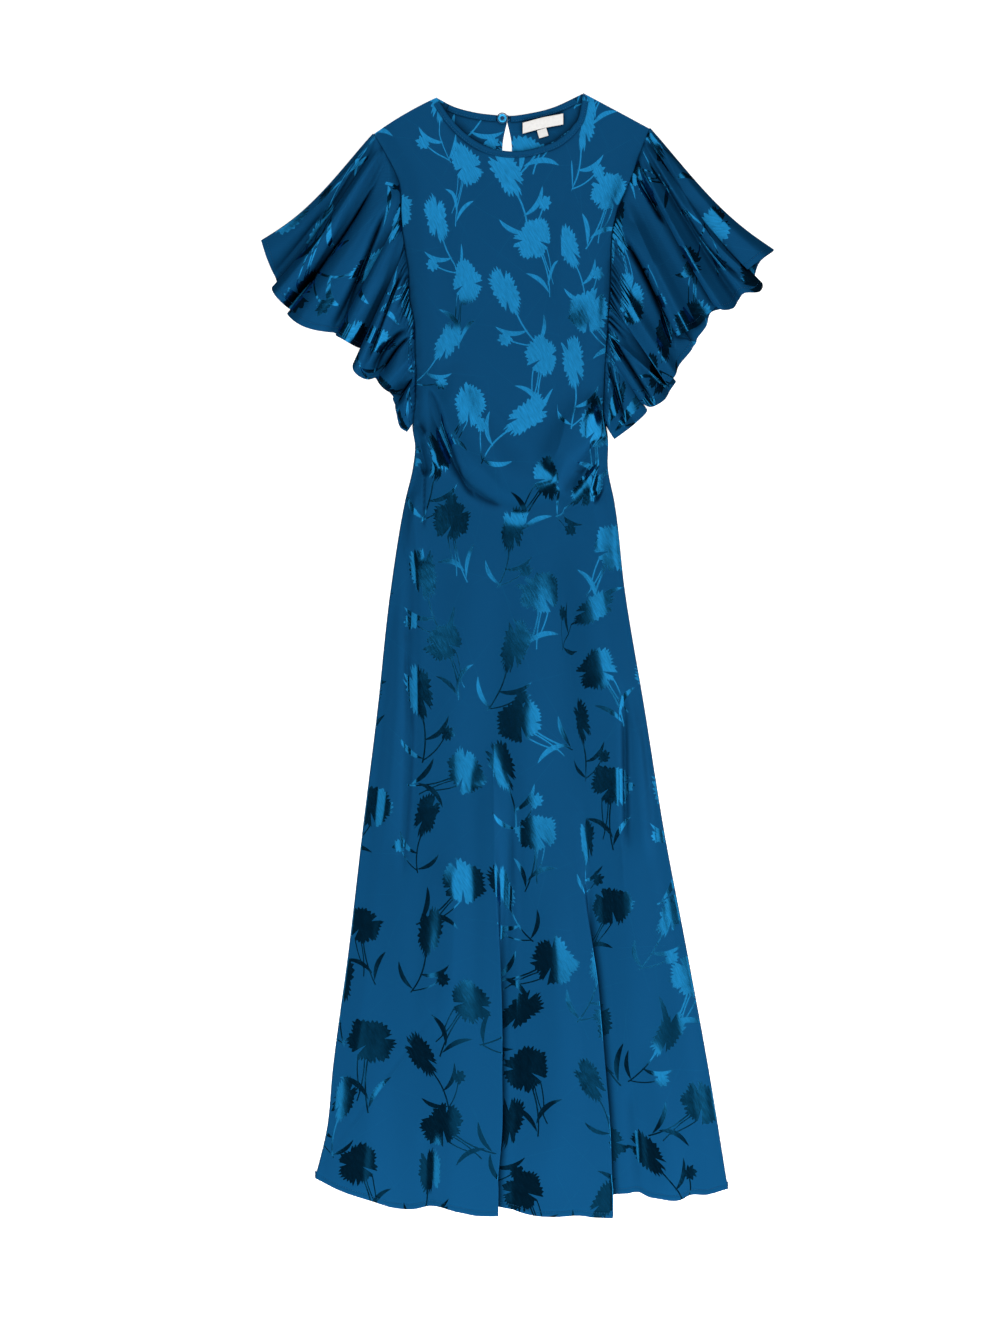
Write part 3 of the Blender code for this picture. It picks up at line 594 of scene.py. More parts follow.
def in_skirt(y):
    """0 above the waist, and 1 from the upper skirt down."""
    return ease((RIPPLE_START_Y - y) / (RIPPLE_START_Y - RIPPLE_FULL_Y))


def ripples(x, y):
    """Shallow waves that run down the cloth, small in the bodice and full in the skirt."""
    height = np.zeros_like(x)
    for wavelength, rise, slant, phase, along in RIPPLES:
        swell = np.sin(FULL_TURN * (y + SWELL_SLANT * x) / along + SWELL_PHASE * phase)
        swell = 1 - RIPPLE_SWELL + RIPPLE_SWELL * swell
        height += rise * swell * np.sin(FULL_TURN * (x + slant * y) / wavelength + phase)
    return height * (BODICE_RIPPLE + (1 - BODICE_RIPPLE) * in_skirt(y))


def over_back(lift):
    """Height of the front's middle for a lift, which may be below 0 but doesn't press it into the back."""
    return FRONT_LOW + 0.5 * (lift + np.sqrt(lift**2 + SOFT_REST))


def front_at(share, down):
    """The front's cloth at shares of the way across it and from its top edge to its hem."""
    top_x = TOP_LEFT_X + TOP_WIDTH * share
    top, hem = top_edge(top_x, FRONT_NECKLINE), front_hem(share)
    y = top + (hem - top) * down
    left, right = edge_x(LEFT_EDGE, y), edge_x(RIGHT_EDGE, y)
    x = left + (right - left) * share
    edge = np.minimum(x - left, right - x)
    waves = folds_height(x, y, FRONT_FOLDS) * FOLD_DEPTH
    waves = waves + folds_height(x, y, CREASES, sharp=True) + ripples(x, y)
    loft = LOFT + SKIRT_LOFT * in_skirt(y) * ease((y - hem) / HEM_REST)
    loft = loft + WAIST_LOFT * np.exp(-(((y - WAIST_Y) / WAIST_REACH) ** 2))
    lift = loft * ease(edge / (2 * EDGE_FADE)) + waves * ease(edge / EDGE_FADE)
    for fold in KNIFE_FOLDS:
        centre, opened = fold_share(fold, y)
        overlap, rise = fold[4:]
        across = (share - centre) / (2 * FOLD_SPREAD) + 0.5
        inside = np.clip(across, 0, 1)
        x = x + overlap * opened**2 * np.sin(FULL_TURN * inside)
        away = np.minimum(across, 0) * 2 * FOLD_SPREAD * (right - left)
        lift = lift * (1 - FOLD_PRESS * opened * np.exp(-(((across - 0.5) / FOLD_PRESS_REACH) ** 2)))
        fall = ease((inside - FOLD_TURN) / (1 - 2 * FOLD_TURN))
        lift = lift + rise * opened**FOLD_OPENING * (1 - fall) * np.exp(-((away / FLAP_SLOPE) ** 2))
    z = over_back(lift) + folds_height(x, y, SEAMS) * ease(edge / SEAM_FADE)
    z = z - HEM_GROOVE * np.exp(-(((y - hem - HEM_SEAM) / HEM_GROOVE_WIDTH) ** 2))
    return np.stack([x, y, z], axis=-1)


def stepped(stops, counts):
    """Even steps from stop to stop, with a count for each stretch."""
    places = []
    for start, end, count in zip(stops, stops[1:], counts):
        places += list(np.linspace(start, end, count, endpoint=False))
    return np.array(places + [stops[-1]])


def front_shares():
    """Columns of the front: more of them where a knife fold turns."""
    stops = [0.0]
    reach = FOLD_SPREAD * FOLD_COLUMNS_REACH
    for fold in KNIFE_FOLDS:
        middle = (fold[0] + fold[1]) / 2
        stops += [middle - reach, middle + reach]
    shares = stepped(stops + [1.0], FRONT_COLUMNS)
    for neck in (NECK_LEFT, NECK_RIGHT):
        exact = (neck[0] - TOP_LEFT_X) / TOP_WIDTH
        shares[np.argmin(np.abs(shares - exact))] = exact
    return shares


def front_downs():
    """Rows of the front: closest round the waist."""
    heights = stepped(ROW_STOPS, FRONT_ROWS)
    return (heights[0] - heights) / (heights[0] - heights[-1])


def across_lengths(points, middle):
    """Length along each row from the middle column, the flat cloth's place across."""
    steps = np.linalg.norm(np.diff(points, axis=1), axis=-1)
    lengths = np.concatenate([np.zeros((len(points), 1)), np.cumsum(steps, axis=1)], axis=1)
    return lengths - lengths[:, middle : middle + 1]


def linked(name, data):
    """A new object in the scene."""
    made = bpy.data.objects.new(name, data)
    bpy.context.scene.collection.objects.link(made)
    return made


def grid_mesh(name, points, uv, cloth, closed=False, flip=False):
    """A smooth sheet through a grid of points in millimetres, with each point's place in the flat cloth."""
    rows, columns = points.shape[:2]
    index = np.arange(rows * columns).reshape(rows, columns)
    if closed:
        index = np.concatenate([index, index[:, :1]], axis=1)
    places = np.arange(uv.shape[0] * uv.shape[1]).reshape(uv.shape[:2])

    def corners(grid):
        ring = [grid[:-1, :-1], grid[1:, :-1], grid[1:, 1:], grid[:-1, 1:]]
        return np.stack(ring[::-1] if flip else ring, axis=-1).reshape(-1, 4)

    quads, places = corners(index), corners(places)
    mesh = bpy.data.meshes.new(name)
    mesh.vertices.add(rows * columns)
    mesh.vertices.foreach_set("co", (points * MM).astype(np.float32).ravel())
    mesh.loops.add(quads.size)
    mesh.loops.foreach_set("vertex_index", quads.astype(np.int32).ravel())
    mesh.polygons.add(len(quads))
    mesh.polygons.foreach_set("loop_start", np.arange(0, quads.size, 4, dtype=np.int32))
    layer = mesh.uv_layers.new(name="cut")
    layer.data.foreach_set("uv", (uv.reshape(-1, 2)[places.ravel()] * MM).astype(np.float32).ravel())
    mesh.update(calc_edges=True)
    mesh.validate()
    mesh.polygons.foreach_set("use_smooth", np.ones(len(quads), dtype=bool))
    mesh.materials.append(cloth)
    return linked(name, mesh)


def make_front(cloth):
    """The front, whose side edges roll down to the back and whose hem turns under."""
    share, down = np.meshgrid(front_shares(), front_downs())
    points = front_at(share, down)
    middle = int(np.argmin(np.abs(share[0] - FIGURE_MIDDLE)))
    u = across_lengths(points, middle) + points[:, middle : middle + 1, 0]
    uv = np.stack([u, points[..., 1]], axis=-1)
    for shift, drop in SIDE_ROLL:
        for column, side in ((0, -1), (-1, 1)):
            extra = points[:, [column]] + np.array([side * shift, 0, -drop])
            place = uv[:, [column]] + np.array([side * shift, 0])
            points = np.concatenate([extra, points][::-side], axis=1)
            uv = np.concatenate([place, uv][::-side], axis=1)
    for back, drop in HEM_TURN:
        points = np.concatenate([points, points[-1:] + np.array([0, back, -drop])])
        uv = np.concatenate([uv, uv[-1:] - np.array([0, abs(back)])])
    points[..., 2] = np.maximum(points[..., 2], LOWEST)
    made = grid_mesh("dress_front", points, uv, cloth)
    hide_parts("front")
    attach(made, "root")
    return made


def keyhole_width(y):
    """Half width of the slit and of the teardrop below it."""
    fall = np.clip((KEYHOLE_TOP - y) / (KEYHOLE_TOP - KEYHOLE_END), 0, 1)
    widest = KEYHOLE_HALF_WIDTH - SLIT_HALF_WIDTH
    opened = SLIT_HALF_WIDTH + widest * np.abs(np.sin(math.pi * fall**KEYHOLE_SKEW))
    return np.where(y < KEYHOLE_END, 0, opened * ease((y - KEYHOLE_END) / KEYHOLE_ROUND))


def back_half(side):
    """Points of the back on one side of the keyhole, from its outer edge inwards."""
    rows = np.linspace(0, 1, BACK_ROWS) ** BACK_ROW_SPREAD
    share, down = np.meshgrid(np.linspace(0, 1, BACK_COLUMNS), rows)
    edge_table = LEFT_EDGE if side < 0 else RIGHT_EDGE
    outer_top, outer_hem = edge_table[0][1], edge_table[-1][1]
    inner_top = KEYHOLE_X + side * SLIT_HALF_WIDTH
    top = top_edge(outer_top + (inner_top - outer_top) * share, BACK_NECKLINE)
    hem = read(BACK_HEM, outer_hem + (KEYHOLE_X - outer_hem) * share)
    y = top + (hem - top) * down
    outer = edge_x(edge_table, y) - side * BACK_INSET * ease((UNDERARM_LEFT_Y - y) / BACK_FADE)
    x = outer + (KEYHOLE_X + side * keyhole_width(y) - outer) * share
    edge = ease(np.abs(x - outer) / BACK_FADE)
    edge = edge * ease((top - y) * 2 / BACK_FADE) * ease((y - hem) * 2 / BACK_FADE)
    lift = folds_height(x, y, FRONT_FOLDS) * BACK_FOLDS + ripples(x, y) * BACK_RIPPLE
    z = BACK_MID + np.clip(lift, -BACK_LIFT, BACK_LIFT) * edge
    return np.stack([x, y, z], axis=-1)


def make_back(cloth):
    """The back, in two halves that part round the keyhole."""
    points = np.concatenate([back_half(-1), back_half(1)[:, ::-1]], axis=1)
    uv = points[..., :2] + np.array(BACK_FIGURE_SHIFT)
    made = grid_mesh("dress_back", points, uv, cloth)
    cut_keyhole(made)
    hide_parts("back")
    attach(made, "root")
    return made


def cut_keyhole(made):
    """Removes the faces that span the keyhole, between the two halves' inner columns."""
    work = bmesh.new()
    work.from_mesh(made.data)
    gone = []
    for face in work.faces:
        places = [vertex.index % (BACK_COLUMNS * 2) for vertex in face.verts]
        if min(places) == BACK_COLUMNS - 1 and max(places) == BACK_COLUMNS:
            if max(abs(vertex.co.x - KEYHOLE_X * MM) for vertex in face.verts) > NO_GAP:
                gone.append(face)
    bmesh.ops.delete(work, geom=gone, context="FACES_ONLY")
    bmesh.ops.remove_doubles(work, verts=work.verts[:], dist=SAME_PLACE)
    work.to_mesh(made.data)
    work.free()


def gathers(share):
    """Small ridges along the armhole with narrow gaps between them, uneven in place and height."""
    lift = np.zeros_like(share)
    for start, end, count, height in GATHERS:
        along = np.clip((share - start) / (end - start), 0, 1)
        uneven = along + GATHER_SWAY / count * np.sin(FULL_TURN * (count * GATHER_SWAY_RATE) * along)
        swell = 1 - GATHER_SWELL + GATHER_SWELL * np.sin(GATHER_SWELL_RATE * along + count)
        swell = np.sin(math.pi * along) ** 0.5 * swell
        lift += height * swell * np.abs(np.sin(math.pi * count * uneven)) ** GATHER_ROUNDNESS
    return lift


def armhole(edge, side, share, underarm):
    """Points just outside an edge of the front, at shares of the way from shoulder to underarm."""
    y = edge[0, 1] + (underarm - edge[0, 1]) * share
    x = np.interp(-y, -edge[:, 1], edge[:, 0]) + side * ARMHOLE_SHIFT
    z = np.interp(-y, -edge[:, 1], edge[:, 2])
    return np.stack([x, y, z], axis=-1)


def smoothed(share, places):
    """A curve without its folds: each point is the mean of its neighbours within a reach."""
    near = np.exp(-(((share[:, None] - share[None, :]) / BASE_REACH) ** 2))
    near *= np.gradient(share)[None, :]
    return near @ places / near.sum(axis=1, keepdims=True)


def sleeve_outs():
    """Rows of a sleeve: shares of the way from the armhole to the hem."""
    return np.linspace(0, 1, SLEEVE_STEPS) ** SLEEVE_ROW_SPREAD


def sleeve_points(edge, side):
    """A sleeve's cloth as a closed tube: rows run from armhole to hem, columns round the tube."""
    underarm, front_rows, back_rows, fan = SLEEVES[side]
    at = np.linspace(0, len(front_rows) - 1, (len(front_rows) - 1) * POINTS_PER_ROW + 1)
    front = through(front_rows, at)
    front[:, 0] = np.maximum.accumulate(front[:, 0])
    count = len(front)
    under = through(back_rows, np.linspace(0, len(back_rows) - 1, UNDER_POINTS_PER_ROW * len(back_rows)))
    share = read(fan, np.concatenate([front[:, 0], under[:, 0]]))
    lower = np.concatenate([np.zeros(count), np.ones(len(under))])
    under_hem = np.column_stack([under[:, 1:], np.full(len(under), BACK_MID)])
    hem = np.concatenate([front[:, 1:], under_hem])
    seam = armhole(edge, side, share, underarm)
    seam[:, 2] = np.where(lower > 0, BACK_MID, seam[:, 2])
    row_out = sleeve_outs()
    out = row_out[:, None, None]
    points = seam + (hem - seam) * out
    # The flutes and their overlaps are already there high up, and not only at the hem.
    folded = np.zeros((len(hem), 2))
    folded[:count] = front[:, 1:3] - smoothed(front[:, 0], front[:, 1:3])
    ends = ease(front[:, 0] / BASE_REACH) * ease((1 - front[:, 0]) / BASE_REACH)
    folded[:count] *= ends[:, None]
    points[..., :2] += folded * (out**OVERLAP_GROWTH - out)
    z = points[..., 2] + (1 - lower) * (out[..., 0] ** FLUTE_GROWTH - out[..., 0]) * (hem[:, 2] - seam[:, 2])
    z = np.where(z > FLUTE_BASE, FLUTE_BASE + (z - FLUTE_BASE) * FLUTE_LIFT, z)
    ends = ease(share / SLEEVE_END_REACH) * ease((1 - share) / SLEEVE_END_REACH) * (1 - lower)
    z += SLEEVE_LOFT * ends * np.sin(math.pi * out[..., 0] ** SLEEVE_LOFT_SKEW)
    bow = np.sin(math.pi * out[..., 0] ** TOP_FOLD_SKEW)
    points[..., 1] -= TOP_FOLD_SAG * np.exp(-share / TOP_FOLD_REACH) * bow
    fade = np.clip(1 - out[..., 0] / GATHER_REACH, 0, 1) ** GATHER_FADE
    z += (1 - lower) * gathers(share) * fade
    upper = z[:, :count]
    x, y = points[:, :count, 0], points[:, :count, 1]
    creases = ease(row_out / CREASE_START)[:, None] * folds_height(x, y, SLEEVE_CREASES, sharp=True)
    z[:, :count] = np.maximum(upper + creases, np.minimum(upper, FRONT_LOW))
    points[..., 2] = z
    return points, count


def rounded_fold(points, side, front_count):
    """Adds two columns at the top fold and two at the underarm, where the tube turns to its other side."""
    top_front, top_back = points[:, 0], points[:, -1]
    low_front, low_back = points[:, front_count - 1], points[:, front_count]

    def turn(start, end, lean):
        shift = np.array([side * lean[0], lean[1], 0])
        return np.stack([start + (end - start) * f + shift for f in TURN_STEPS], axis=1)

    underarm = turn(low_front, low_back, UNDERARM_TURN)
    top = turn(top_back, top_front, TOP_TURN)
    return np.concatenate([points[:, :front_count], underarm, points[:, front_count:], top], axis=1)


def fan_places(points):
    """Places in a flared sleeve's flat cloth: a sector of a ring, shorter at the armhole than at the hem."""
    ring = np.concatenate([points, points[:, :1]], axis=1)
    hem = np.linalg.norm(np.diff(ring[-1], axis=0), axis=-1)
    seam = np.linalg.norm(np.diff(ring[0], axis=0), axis=-1)
    length = np.linalg.norm(ring[-1] - ring[0], axis=-1).mean()
    turn = (hem.sum() - seam.sum()) / length
    inner = seam.sum() / turn
    angle = np.concatenate([[0], np.cumsum(hem)]) / hem.sum() * turn
    radius = inner + length * sleeve_outs()[:, None]
    return np.stack([radius * np.cos(angle)[None, :], radius * np.sin(angle)[None, :]], axis=-1)


def make_sleeve(name, node, front_edge, side, cloth):
    """A sleeve, and the line of the stitches near its hem."""
    points, front_count = sleeve_points(front_edge, side)
    row = int(np.argmin(np.abs(sleeve_outs() - SLEEVE_SEAM_SHARE)))
    seam = points[row, SLEEVE_SEAM_INSET : front_count - SLEEVE_SEAM_INSET] + np.array([0, 0, STITCH_LIFT])
    points = rounded_fold(points, side, front_count)
    made = grid_mesh(name, points, fan_places(points), cloth, closed=True, flip=side > 0)
    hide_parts(node)
    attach(made, "root")
    return made, seam


def strip_mesh(name, node, edge, height, cloth):
    """A band that lies along an edge, a little crowned across. Gives the line of its stitches."""
    along = unit(np.gradient(edge, axis=0))
    inward = np.column_stack([along[:, 1], -along[:, 0]])
    inward *= np.sign(-inward[:, 1:])
    rows = []
    for share, rise in BAND_PROFILE:
        place = edge + inward * BINDING_WIDTH * share
        rows.append(np.column_stack([place, np.full(len(edge), height + rise)]))
    lengths = np.concatenate([[0], np.cumsum(np.linalg.norm(np.diff(edge, axis=0), axis=-1))])
    uv = np.stack(np.meshgrid(lengths, np.linspace(0, BINDING_WIDTH, len(rows))), axis=-1)
    made = grid_mesh(name, np.stack(rows), uv, cloth)
    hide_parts(node)
    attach(made, "root")
    seam = edge + inward * BINDING_WIDTH * BAND_SEAM
    return np.column_stack([seam, np.full(len(edge), height + BAND_STITCH_LIFT)])


def neck_bands(cloth):
    """The bands round the front and back neck. Gives the lines of their stitches."""
    on_front = float(over_back(np.array(LOFT))) + FRONT_BAND_RISE
    seams = []
    for place, neckline, low, high, columns in BANDS:
        x = np.linspace(low, high, columns)
        edge = np.column_stack([x, read(neckline, x) - BAND_OVERHANG])
        height = on_front if place == "front" else FRONT_LOW
        seams.append(strip_mesh("neck_band_" + place, "neck_binding_" + place, edge, height, cloth))
    return seams


def stitches(name, lines, thread):
    """Rows of small stitches along lines on the cloth, joined in one mesh."""
    corners, faces = [], []
    for line in lines:
        steps = np.linalg.norm(np.diff(line, axis=0), axis=1)
        length = np.concatenate([[0], np.cumsum(steps)])
        middles = np.arange(STITCH_PITCH, length[-1] - STITCH_PITCH, STITCH_PITCH)
        start, middle, end = (
            np.stack([np.interp(middles + shift, length, line[:, i]) for i in range(3)], axis=1)
            for shift in (-STITCH_LENGTH / 2, 0, STITCH_LENGTH / 2)
        )
        along = unit(end - start)
        aside = unit(np.cross(along, [0, 0, 1])) * STITCH_WIDTH / 2
        above = np.cross(aside, along) * STITCH_HEIGHT / STITCH_WIDTH
        ring = [middle + aside, middle + above * 2, middle - aside, middle - above]
        first = len(corners)
        corners += list(np.stack([start, *ring, end], axis=1).reshape(-1, 3))
        for low in range(first, len(corners), 6):
            for i in range(4):
                here, after = low + 1 + i, low + 1 + (i + 1) % 4
                faces.append((low, here, after))
                faces.append((low + 5, after, here))
    mesh = bpy.data.meshes.new(name)
    mesh.from_pydata([tuple(corner * MM) for corner in corners], [], faces)
    mesh.polygons.foreach_set("use_smooth", np.ones(len(faces), dtype=bool))
    mesh.materials.append(thread)
    made = linked(name, mesh)
    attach(made, "root")


# Materials


def new_material(name):
    made = bpy.data.materials.new(name)
    made.use_nodes = True
    return made, made.node_tree, made.node_tree.nodes["Principled BSDF"]


def feed(node, inputs):
    """Sets a node's inputs, or links those that other nodes work out."""
    for place, value in inputs.items():
        if isinstance(value, Value):
            value.tree.links.new(value.socket, node.inputs[place])
        else:
            node.inputs[place].default_value = value


def add_node(tree, kind, inputs, **settings):
    """A new node with its settings and inputs."""
    node = tree.nodes.new("ShaderNode" + kind)
    for name, value in settings.items():
        setattr(node, name, value)
    feed(node, inputs)
    return node


class Value:
    """A number, colour or direction that a material's nodes work out at each point."""

    def __init__(self, tree, socket):
        self.tree = tree
        self.socket = socket

    def apply(self, operation, *others):
        inputs = dict(enumerate((self, *others)))
        node = add_node(self.tree, "Math", inputs, operation=operation)
        return Value(self.tree, node.outputs[0])

    def __add__(self, other):
        return self.apply("ADD", other)

    def __sub__(self, other):
        return self.apply("SUBTRACT", other)

    def __mul__(self, other):
        return self.apply("MULTIPLY", other)

    def __truediv__(self, other):
        return self.apply("DIVIDE", other)

    def clamped(self):
        made = self.apply("ADD", 0.0)
        made.socket.node.use_clamp = True
        return made

    def mix(self, low, high):
        """Low where this is 0, high where it is 1."""
        return self * (high - low) + low


def turned(x, y, angle):
    """A point's place in axes turned by an angle, which may be a Value."""
    if isinstance(angle, Value):
        c, s = angle.apply("COSINE"), angle.apply("SINE")
    else:
        c, s = math.cos(angle), math.sin(angle)
    return x * c + y * s, y * c - x * s


def wave(along, pitch):
    """A sine wave along a line."""
    return (along * (FULL_TURN / pitch)).apply("SINE")


def within(distance, softness=0.35):
    """1 where a distance in millimetres is above 0, with a soft edge."""
    return (distance / softness + 0.5).clamped()


def leaf(x, y, base_x, base_y, angle, length, width, curl):
    """A lance-shaped leaf from its base, curled to one side."""
    along, aside = turned(x - base_x, y - base_y, angle)
    t = along / length
    swell = (t * t * -4 + t * 4).apply("MAXIMUM", 0.0)
    return within(swell.apply("POWER", 0.8) * (width / 2) - (aside - swell * curl).apply("ABSOLUTE"))


def wedge(x, y, angle, start, flare):
    """A notch cut in from a head's rim towards its middle."""
    along, aside = turned(x, y, angle)
    return within((along - start) * flare - aside.apply("ABSOLUTE"))


def stalk(x, y, base_x, base_y, angle, length, width, curl):
    """A thin stalk of even width from its base, curled to one side."""
    along, aside = turned(x - base_x, y - base_y, angle)
    t = along / length
    middle = (t * t * -4 + t * 4) * curl
    line = within((aside - middle).apply("ABSOLUTE") * -1 + width / 2)
    return line * within(along) * within(along * -1 + length)


def joined(tree, x, y, z):
    """Three numbers as one place."""
    return Value(tree, add_node(tree, "CombineXYZ", {0: x, 1: y, 2: z}).outputs[0])


def rough(tree, x, y, scale, seed):
    """Soft noise about 0, the same wherever x and y are the same."""
    place = joined(tree, x, y, seed)
    noise = add_node(tree, "TexNoise", {"Vector": place, "Scale": scale, "Detail": 1.0})
    return Value(tree, noise.outputs["Fac"]) - 0.5


def frilled_head(tree, x, y, half_width, half_height, teeth_count, phase):
    """A frilled flower: scallops with small pointed teeth, narrower towards its stalk."""
    least = min(half_width, half_height)
    x = x / (y * (HEAD_TAPER / half_height) + 1)
    sides = (x / half_width, y / half_height)
    angle = sides[1].apply("ARCTAN2", sides[0])
    across, along = (side.apply("ABSOLUTE").apply("POWER", HEAD_SQUARENESS) for side in sides)
    radius = (across + along).apply("POWER", 1 / HEAD_SQUARENESS)
    uneven = rough(tree, x + phase * RIM_SHIFT, y, RIM_SCALE, seed=1.5)
    scallops = (angle * SCALLOP_TURNS + phase).apply("SINE").apply("ABSOLUTE")
    scallops = scallops.apply("POWER", SCALLOP_ROUNDNESS)
    teeth = (angle * (teeth_count / math.pi) + uneven * TEETH_SWAY).apply("PINGPONG", 1.0)
    rim = scallops * SCALLOP_DEPTH + teeth * (TOOTH_LENGTH / least) + uneven * RIM_UNEVEN + RIM_LEAST
    return within((rim - radius) * least)


def sprig_cell(tree, u, v, shift, seed):
    """A point's place in its cell of the turned grid, swayed and mirrored by the cell's own numbers."""
    u, v = turned(u, v, GRID_TURN)
    column = (u + shift[0]) / PITCH
    row = (v + shift[1]) / PITCH
    row_number = row.apply("FLOOR")
    column = column + row_number * 0.5
    column_number = column.apply("FLOOR")
    noise = add_node(tree, "TexWhiteNoise", {"Vector": joined(tree, column_number, row_number, seed)})
    parts = add_node(tree, "SeparateColor", {0: Value(tree, noise.outputs["Color"])})
    first, second, third = (Value(tree, output) for output in parts.outputs)
    size = third.mix(*SPRIG_SIZES)
    x = (column - column_number - 0.5) * PITCH / size
    y = (row - row_number - 0.5) * PITCH / size
    x, y = turned(x, y, (first - 0.5) * SPRIG_SWAY - GRID_TURN)
    flip = second.apply("GREATER_THAN", MIRRORED_SHARE) * 2 - 1
    return x * flip, y, third * FULL_TURN


def union(masks):
    made, *others = masks
    for mask in others:
        made = made.apply("MAXIMUM", mask)
    return made


def sprig(tree, u, v, parts):
    """A mask of one kind of sprig, once in each cell of the grid."""
    x, y, phase = sprig_cell(tree, u, v, parts["shift"], parts["seed"])
    (head_x, head_y, *sizes), *buds = parts["heads"]
    hx, hy = x - head_x, y - head_y
    cuts = union([wedge(hx, hy, *cut) for cut in parts["cuts"]])
    masks = [frilled_head(tree, hx, hy, *sizes, phase) * (cuts * -1 + 1)]
    masks += [frilled_head(tree, x - bud[0], y - bud[1], *bud[2:], phase) for bud in buds]
    masks += [stalk(x, y, *row) for row in parts["stalks"]]
    masks += [leaf(x, y, *row) for row in parts["leaves"]]
    return union(masks)


def painted_crease_shade(tree):
    """Painted shade: 1 on open cloth, and less where other cloth stands close above it."""
    node = add_node(tree, "AmbientOcclusion", {"Distance": CREASE_SHADE_REACH}, samples=8)
    return Value(tree, node.outputs["AO"]).apply("POWER", CREASE_SHADE)


def in_millimetres(tree, socket):
    """A place's three numbers, turned from metres into millimetres."""
    parts = add_node(tree, "SeparateXYZ", {0: Value(tree, socket)})
    return [Value(tree, output) / MM for output in parts.outputs]


def object_places(tree):
    """A point's place on a solid, in millimetres."""
    return in_millimetres(tree, tree.nodes.new("ShaderNodeTexCoord").outputs["Object"])


def blended(tree, mask, low, high):
    """One colour where a mask is 0 and another where it is 1."""
    mix = add_node(tree, "Mix", {"A": low, "B": high, "Factor": mask}, data_type="RGBA")
    return Value(tree, mix.outputs["Result"])


def bumped(tree, height):
    """The surface's direction with a height in metres on it."""
    bump = add_node(tree, "Bump", {"Strength": 1.0, "Distance": 1.0, "Height": height})
    return Value(tree, bump.outputs[0])


def satin(name, figured=True):
    """Crepe ground, with or without a smoother, shinier woven figure."""
    made, tree, shader = new_material(name)
    cut = add_node(tree, "UVMap", {}, uv_map="cut")
    u, v, _ = in_millimetres(tree, cut.outputs[0])
    streaks = rough(tree, u * STREAK_ACROSS + v * STREAK_SLANT, v * STREAK_ALONG, 1.0, seed=0.0)
    speckle = rough(tree, u * SPECKLE_SCALE, v * SPECKLE_SCALE, 1.0, seed=4.0)
    twill = wave(u + v, TWILL_PITCH * math.sqrt(2))
    tone = speckle * GRAIN_TONE + twill * TWILL_TONE + 1
    colour, roughness, metallic = GROUND[:3], GROUND_ROUGHNESS, GROUND_METALLIC
    if figured:
        figure = union([sprig(tree, u, v, parts) for parts in SPRIGS])
        colour = blended(tree, figure, GROUND, FIGURE)
        tone = tone * (figure * -1 + 1) + (streaks * STREAK_TONE + 1) * figure
        roughness = figure.mix(GROUND_ROUGHNESS, FIGURE_ROUGHNESS)
        metallic = figure.mix(GROUND_METALLIC, FIGURE_METALLIC)
    # Painted shade: the colour is darkened where other cloth stands close above, by ambient occlusion
    scaled = add_node(tree, "VectorMath", {0: colour, "Scale": tone * painted_crease_shade(tree)}, operation="SCALE")
    pucker = rough(tree, u, v * PUCKER_STRETCH, PUCKER_SCALE, seed=2.0)
    feed(shader, {
        "Base Color": Value(tree, scaled.outputs[0]),
        "Roughness": streaks * STREAK_ROUGHNESS + roughness,
        "Metallic": metallic,
        "Specular IOR Level": GLOSS_LEVEL,
        "Normal": bumped(tree, streaks * STREAK_HEIGHT + pucker * PUCKER_HEIGHT),
    })
    return made


def button_material():
    """A glossy dyed button whose sunk middle is coloured darker, painted shade in the hollow."""
    made, tree, shader = new_material("button_gloss")
    x, y, _ = object_places(tree)
    x, y = x - BUTTON_CENTRE[0], y - BUTTON_CENTRE[1]
    radius = (x * x + y * y).apply("SQRT")
    middle = within(radius * -1 + BUTTON_MIDDLE_RADIUS, 0.5)
    feed(shader, {
        # Painted shade: the sunk middle gets the darker colour
        "Base Color": blended(tree, middle, BUTTON_RIM, BUTTON_HOLLOW_SHADE),
        "Roughness": rough(tree, x, y, 0.5, seed=0.0) * 0.1 + 0.35,
        "Specular IOR Level": 0.2,
    })
    return made


def thread_material():
    """Twisted thread of the loop and of the stitches."""
    made, tree, shader = new_material("thread")
    x, y, z = object_places(tree)
    twist = wave(x + y + z, THREAD_TWIST)
    feed(shader, {
        "Base Color": blended(tree, (twist * 0.5 + 0.5).clamped(), THREAD_SHADE, THREAD),
        "Roughness": 0.5,
        "Normal": bumped(tree, twist * WEAVE_HEIGHT),
    })
    return made


def tape_material():
    """Bare woven tape: fine ribs across it, a selvedge along its edges and slight unevenness."""
    made, tree, shader = new_material("tape")
    x, y, _ = object_places(tree)
    start, end = LABEL_MIDLINE[0], LABEL_MIDLINE[-1]
    angle = math.atan2(end[1] - start[1], end[0] - start[0])
    along, aside = turned(x - start[0], y - start[1], angle)
    ribs, weft = wave(along, RIB_PITCH), wave(aside, WEFT_PITCH)
    selvedge = within(aside.apply("ABSOLUTE") * -1 + LABEL_WIDTH / 2 - SELVEDGE_WIDTH, 0.4)
    cloudy = rough(tree, x, y, 0.3, seed=0.0)
    mask = (ribs * 0.12 + weft * 0.08 + cloudy * 0.5 + selvedge * 0.25 + 0.5).clamped()
    feed(shader, {
        "Base Color": blended(tree, mask, TAPE_SHADE, TAPE),
        "Roughness": 0.85,
        "Normal": bumped(tree, (ribs + weft) * WEAVE_HEIGHT),
    })
    return made


# Studio


def area_light(name, place, aim, size, power, glossy):
    data = bpy.data.lights.new(name, "AREA")
    data.shape = "RECTANGLE"
    data.size, data.size_y = size
    data.energy = power
    made = linked(name, data)
    made.location = place
    made.visible_glossy = glossy
    made.rotation_euler = (Vector(aim) - Vector(place)).to_track_quat("-Z", "Y").to_euler()


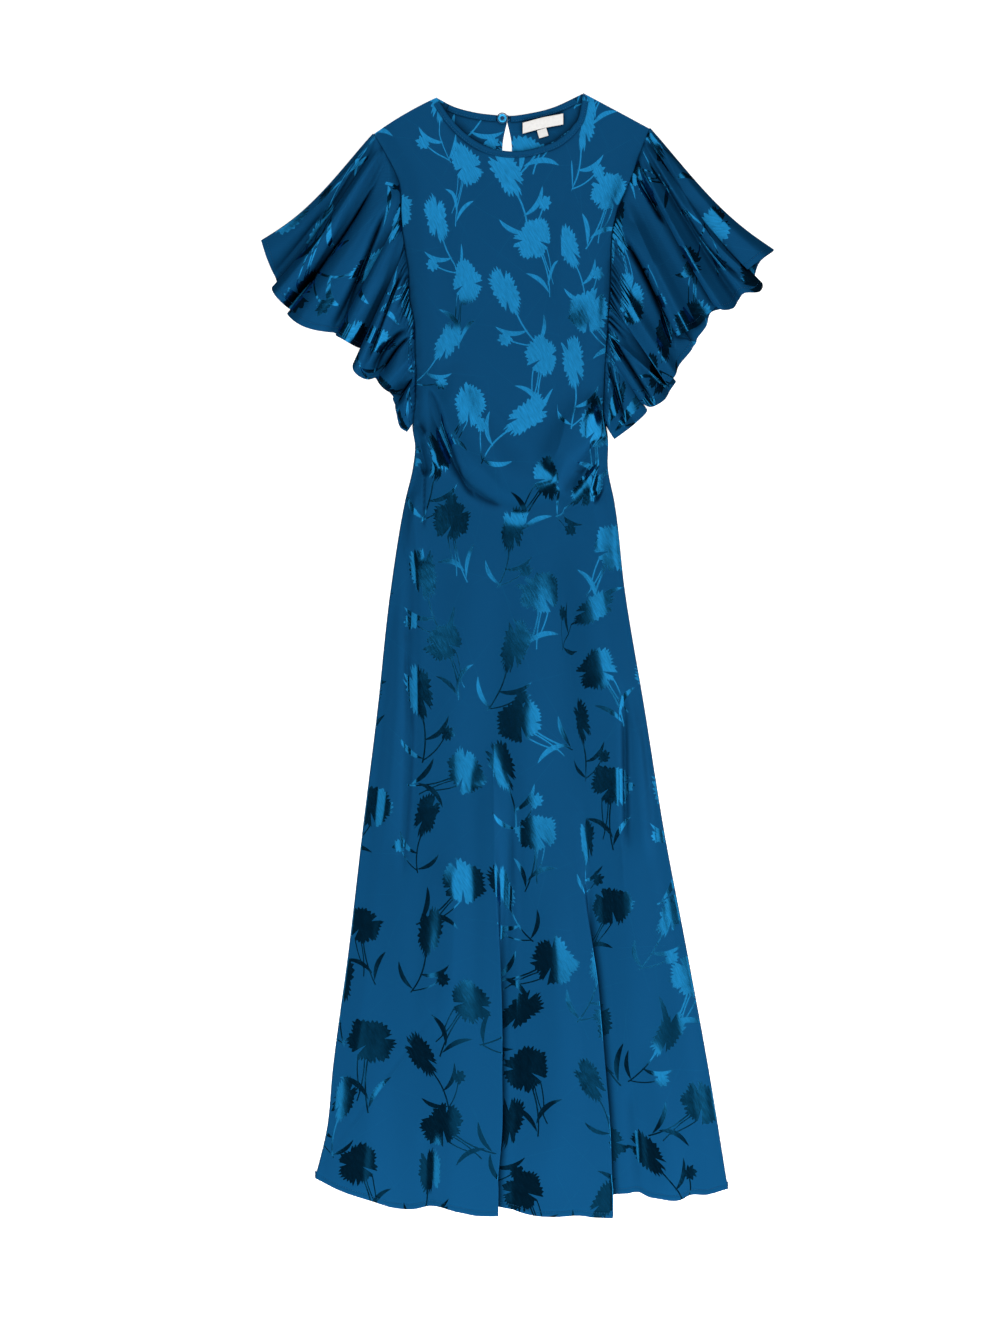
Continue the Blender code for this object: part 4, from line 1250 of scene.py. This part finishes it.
def make_floor():
    bpy.ops.mesh.primitive_plane_add(size=FLOOR_SIZE, location=(0, 0, FLOOR_Z))
    floor = bpy.context.object
    floor.name = "floor"
    made, _, shader = new_material("floor")
    feed(shader, {"Base Color": (0.8, 0.8, 0.8, 1), "Roughness": 0.9})
    feed(shader, {"Emission Color": WHITE, "Emission Strength": 0.55})
    floor.data.materials.append(made)
    floor.visible_diffuse = False
    floor.visible_glossy = False


def make_studio():
    make_floor()
    world = bpy.data.worlds.new("studio")
    world.use_nodes = True
    feed(world.node_tree.nodes["Background"], {0: WHITE, 1: WORLD_STRENGTH})
    bpy.context.scene.world = world
    for light in LIGHTS:
        area_light(*light)
    camera = bpy.data.cameras.new("camera")
    camera.sensor_fit = "VERTICAL"
    camera.sensor_height = SENSOR_HEIGHT
    camera.lens = SENSOR_HEIGHT * CAMERA_PLACE[2] / SHOWN_HEIGHT
    eye = linked("camera", camera)
    eye.location = CAMERA_PLACE
    bpy.context.scene.camera = eye
    bpy.context.scene.view_settings.view_transform = "Standard"
    bpy.context.scene.view_settings.look = "None"


def main():
    cloth = satin("satin_crepe")
    plain = satin("satin_plain", figured=False)
    front = make_front(cloth)
    back = make_back(cloth)
    shares = np.linspace(*HEM_SEAM_ENDS, HEM_SEAM_POINTS)
    downs = np.full(HEM_SEAM_POINTS, 1 - HEM_SEAM / FRONT_LENGTH)
    hems = [front_at(shares, downs) + np.array([0, 0, STITCH_LIFT])]
    edges = front_at(*np.meshgrid([0.0, 1.0], front_downs()))
    for node, column, side in (("sleeve_left", 0, -1), ("sleeve_right", 1, 1)):
        made, seam = make_sleeve("cloth_" + node, node, edges[:, column], side, cloth)
        hems.append(seam)
    seams = neck_bands(plain)
    thread = thread_material()
    stitches("stitches_neck", seams, thread)
    stitches("stitches_hems", hems, thread)
    tape = tape_material()
    finishes = {"button": button_material(), "button_loop": thread, "neck_label": tape, "size_tab": tape}
    for node, made in finishes.items():
        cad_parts[node].data.materials.clear()
        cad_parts[node].data.materials.append(made)
    make_studio()


main()
